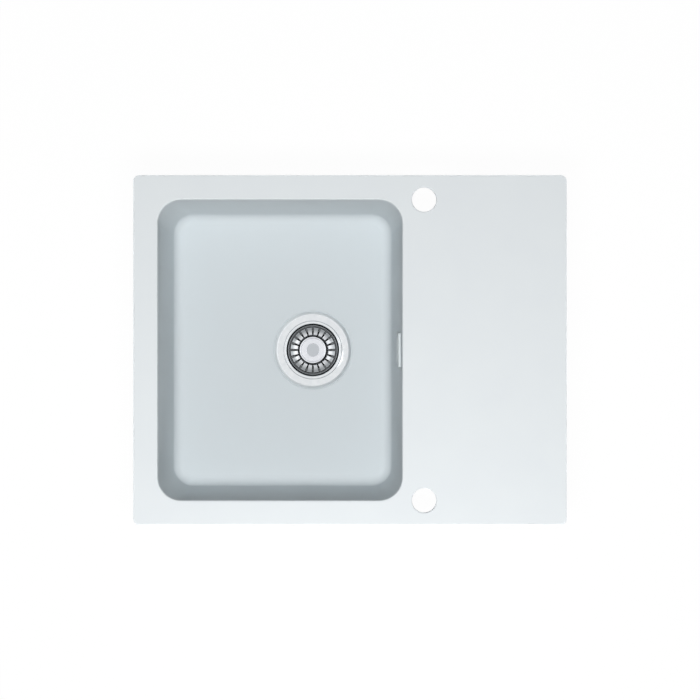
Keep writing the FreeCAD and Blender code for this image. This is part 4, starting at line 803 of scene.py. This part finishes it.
def make_housing_screws():
    """Two pan-head screws with cross recesses."""
    low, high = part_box("overflow_screws")
    spacing, head_height, shank = 72 * MM, 2.4, 1.75
    recess_reach, recess_half_width, recess_depth = 2.0 * MM, 0.42 * MM, 1.2 * MM
    point, seat = low.x / MM, high.x / MM - head_height
    parts = []
    for side in (-1, 1):
        outline = rounded(
            [
                (0, point),
                (1.2, point),
                (shank, point + 1.5),
                (shank, seat),
                (3.6, seat, 0.3),
                (3.6, seat + 1.1, 0.9),
                (2.3, seat + 2.3, 1.2),
                (0, seat + head_height),
            ]
        )
        made = spun(outline, 32)
        arms = []
        for face in made.faces:
            centre = face.calc_center_median()
            on_top = face.normal.z > 0.7 and centre.xy.length < recess_reach
            if on_top and min(abs(centre.x), abs(centre.y)) < recess_half_width:
                arms.append(face)
        sunk = bmesh.ops.extrude_face_region(made, geom=arms)["geom"]
        foot = [item for item in sunk if isinstance(item, bmesh.types.BMVert)]
        bmesh.ops.translate(made, verts=foot, vec=(0, 0, -recess_depth))
        bmesh.ops.delete(made, geom=[item for item in arms if item.is_valid], context="FACES")
        place = Matrix.Translation((0, side * spacing / 2, middle("overflow_screws").z))
        parts.append(moved(made, place, Matrix.Rotation(QUARTER_TURN, 4, "Y")))
    shown(joined(*parts), "housing_screws", "overflow_screws")


make_housing()
make_hose()
make_housing_screws()
eased("hose_clip", 0.2 * MM)
eased("hose_clip_screw", 0.3 * MM)
eased("overflow_seal", 0.3 * MM)
eased("overflow_rosette", 0.3 * MM)


# --- clamps ----------------------------------------------------------------------------------------


def make_studs():
    """Eight rolled M5 studs, their threads running the whole length."""
    low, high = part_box("clamp_studs")
    radius, core, pitch, chamfer = 2.5, 2.02, 0.8, 0.4
    length = (high.z - low.z) / MM
    foot = [(core, chamfer - length), (core - chamfer, -length), (0, -length)]
    rod = spun(rounded([(0, 0), (core, 0), *foot]), 16)
    ridge = thread(radius * MM, (radius - core) * MM, pitch * MM, (length - 1) * MM, 16)
    places = [(*middle(f"clamp_nut_{index}").xy, high.z) for index in range(1, CLAMP_COUNT + 1)]
    shown(repeated(joined(rod, ridge), places), "rolled_studs", "clamp_studs")


make_studs()
for clamp in range(1, CLAMP_COUNT + 1):
    eased(f"clamp_claw_{clamp}", 0.35 * MM)
    eased(f"clamp_nut_{clamp}", 0.25 * MM)
eased("clamp_inserts", 0.3 * MM)
eased("rim_seal", 0.4 * MM)


# --- stage -----------------------------------------------------------------------------------------


def make_camera():
    """The photograph's view: straight down, a long way off, a little left of the sink's middle."""
    reach = 4.2
    width_seen = 1.0
    left_of_middle = 0.0136
    data = bpy.data.cameras.new("camera")
    data.sensor_width = 36
    data.lens = data.sensor_width * reach / width_seen
    data.shift_x = left_of_middle / width_seen
    camera = bpy.data.objects.new("camera", data)
    camera.location = (-left_of_middle, 0, DECK_TOP + reach)
    scene.collection.objects.link(camera)
    scene.camera = camera


def seen_directly(tree):
    """1 for rays that show the background itself: to the eye, in a polish or through clear matter."""
    ray = add(tree, "ShaderNodeLightPath").outputs
    glossy, clear = ray["Is Glossy Ray"], ray["Is Transmission Ray"]
    polish = add(tree, "ShaderNodeMath", {0: glossy, 1: clear}, operation="MAXIMUM").outputs[0]
    return add(
        tree, "ShaderNodeMath", {0: ray["Is Camera Ray"], 1: polish}, operation="MAXIMUM"
    ).outputs[0]


def make_floor():
    """A pale floor that shows white, keeps a soft shadow, and can be seen through from below."""
    gap, half_side, white_share = 2 * MM, 6, 0.97
    below = min(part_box(name)[0].z for name in frame["nodes"]) - gap
    mesh = bpy.data.meshes.new("floor")
    made = bmesh.new()
    bmesh.ops.create_grid(made, x_segments=1, y_segments=1, size=half_side)
    bmesh.ops.translate(made, verts=made.verts, vec=(0, 0, below))
    made.to_mesh(mesh)
    made.free()
    floor = bpy.data.objects.new("floor", mesh)
    scene.collection.objects.link(floor)
    material = bpy.data.materials.new("floor_paper")
    material.use_nodes = True
    tree = material.node_tree
    tree.nodes.clear()
    paper = add(tree, "ShaderNodeBsdfDiffuse", {"Color": linear("F4F4F4")}).outputs[0]
    white = add(tree, "ShaderNodeEmission", {"Color": (1, 1, 1, 1), "Strength": 1.0}).outputs[0]
    share = add(tree, "ShaderNodeMath", {0: seen_directly(tree), 1: white_share}, operation="MULTIPLY")
    top = add(tree, "ShaderNodeMixShader", {0: share.outputs[0], 1: paper, 2: white}).outputs[0]
    clear = add(tree, "ShaderNodeBsdfTransparent").outputs[0]
    back = add(tree, "ShaderNodeNewGeometry").outputs["Backfacing"]
    both = add(tree, "ShaderNodeMixShader", {0: back, 1: top, 2: clear}).outputs[0]
    add(tree, "ShaderNodeOutputMaterial", {"Surface": both})
    mesh.materials.append(material)


def make_world():
    """White surroundings: dim light on the object, white where the eye or a polish sees them."""
    world = bpy.data.worlds.new("studio")
    scene.world = world
    world.use_nodes = True
    tree = world.node_tree
    tree.nodes.clear()
    lit = add(tree, "ShaderNodeBackground", {"Color": (1, 1, 1, 1), "Strength": 0.05}).outputs[0]
    seen = add(tree, "ShaderNodeBackground", {"Color": (1, 1, 1, 1), "Strength": 1.0}).outputs[0]
    mix = add(tree, "ShaderNodeMixShader", {0: seen_directly(tree), 1: lit, 2: seen}).outputs[0]
    add(tree, "ShaderNodeOutputWorld", {"Surface": mix})


def make_lamp(name, place, aim, sides, power):
    """A rectangular soft box aimed at a point, its first side level, and itself out of sight."""
    data = bpy.data.lights.new(name, "AREA")
    data.shape = "RECTANGLE"
    data.size, data.size_y = sides
    data.energy = power
    lamp = bpy.data.objects.new(name, data)
    lamp.location = place
    lamp.rotation_mode = "QUATERNION"
    lamp.rotation_quaternion = (Vector(aim) - Vector(place)).to_track_quat("-Z", "Y")
    lamp.visible_camera = False
    scene.collection.objects.link(lamp)
    return lamp


def make_lamps():
    """Soft boxes over and before the sink, strips that only polish mirrors, and four low fills."""
    overhead = make_lamp("overhead_box", (-0.05, -0.3, 3.0), (-0.05, -0.2, 0), (0.6, 0.3), 80)
    front = make_lamp("front_box", (0, -0.75, 0.25), (0, -0.1, 0), (0.9, 0.12), 1.8)
    for lamp in (overhead, front):
        lamp.visible_glossy = False
    strip_offset, strip_height, strip_sides, strip_power = 0.6, 0.8, (0.6, 0.6), 1.1
    for name, side in (("left_strip", -1), ("right_strip", 1)):
        place = (DRAIN.x + side * strip_offset, 0, strip_height)
        strip = make_lamp(name, place, DRAIN, strip_sides, strip_power)
        strip.visible_diffuse = False
    level, distance, fill_sides, fill_power = -0.14, 1.3, (1.0, 0.2), 6
    for name, x, y in (("right", 1, 0), ("back", 0, 1), ("left", -1, 0), ("front", 0, -1)):
        place = (x * distance, y * distance, level)
        make_lamp(f"{name}_box", place, (0, 0, level), fill_sides, fill_power)


make_camera()
make_floor()
make_world()
make_lamps()
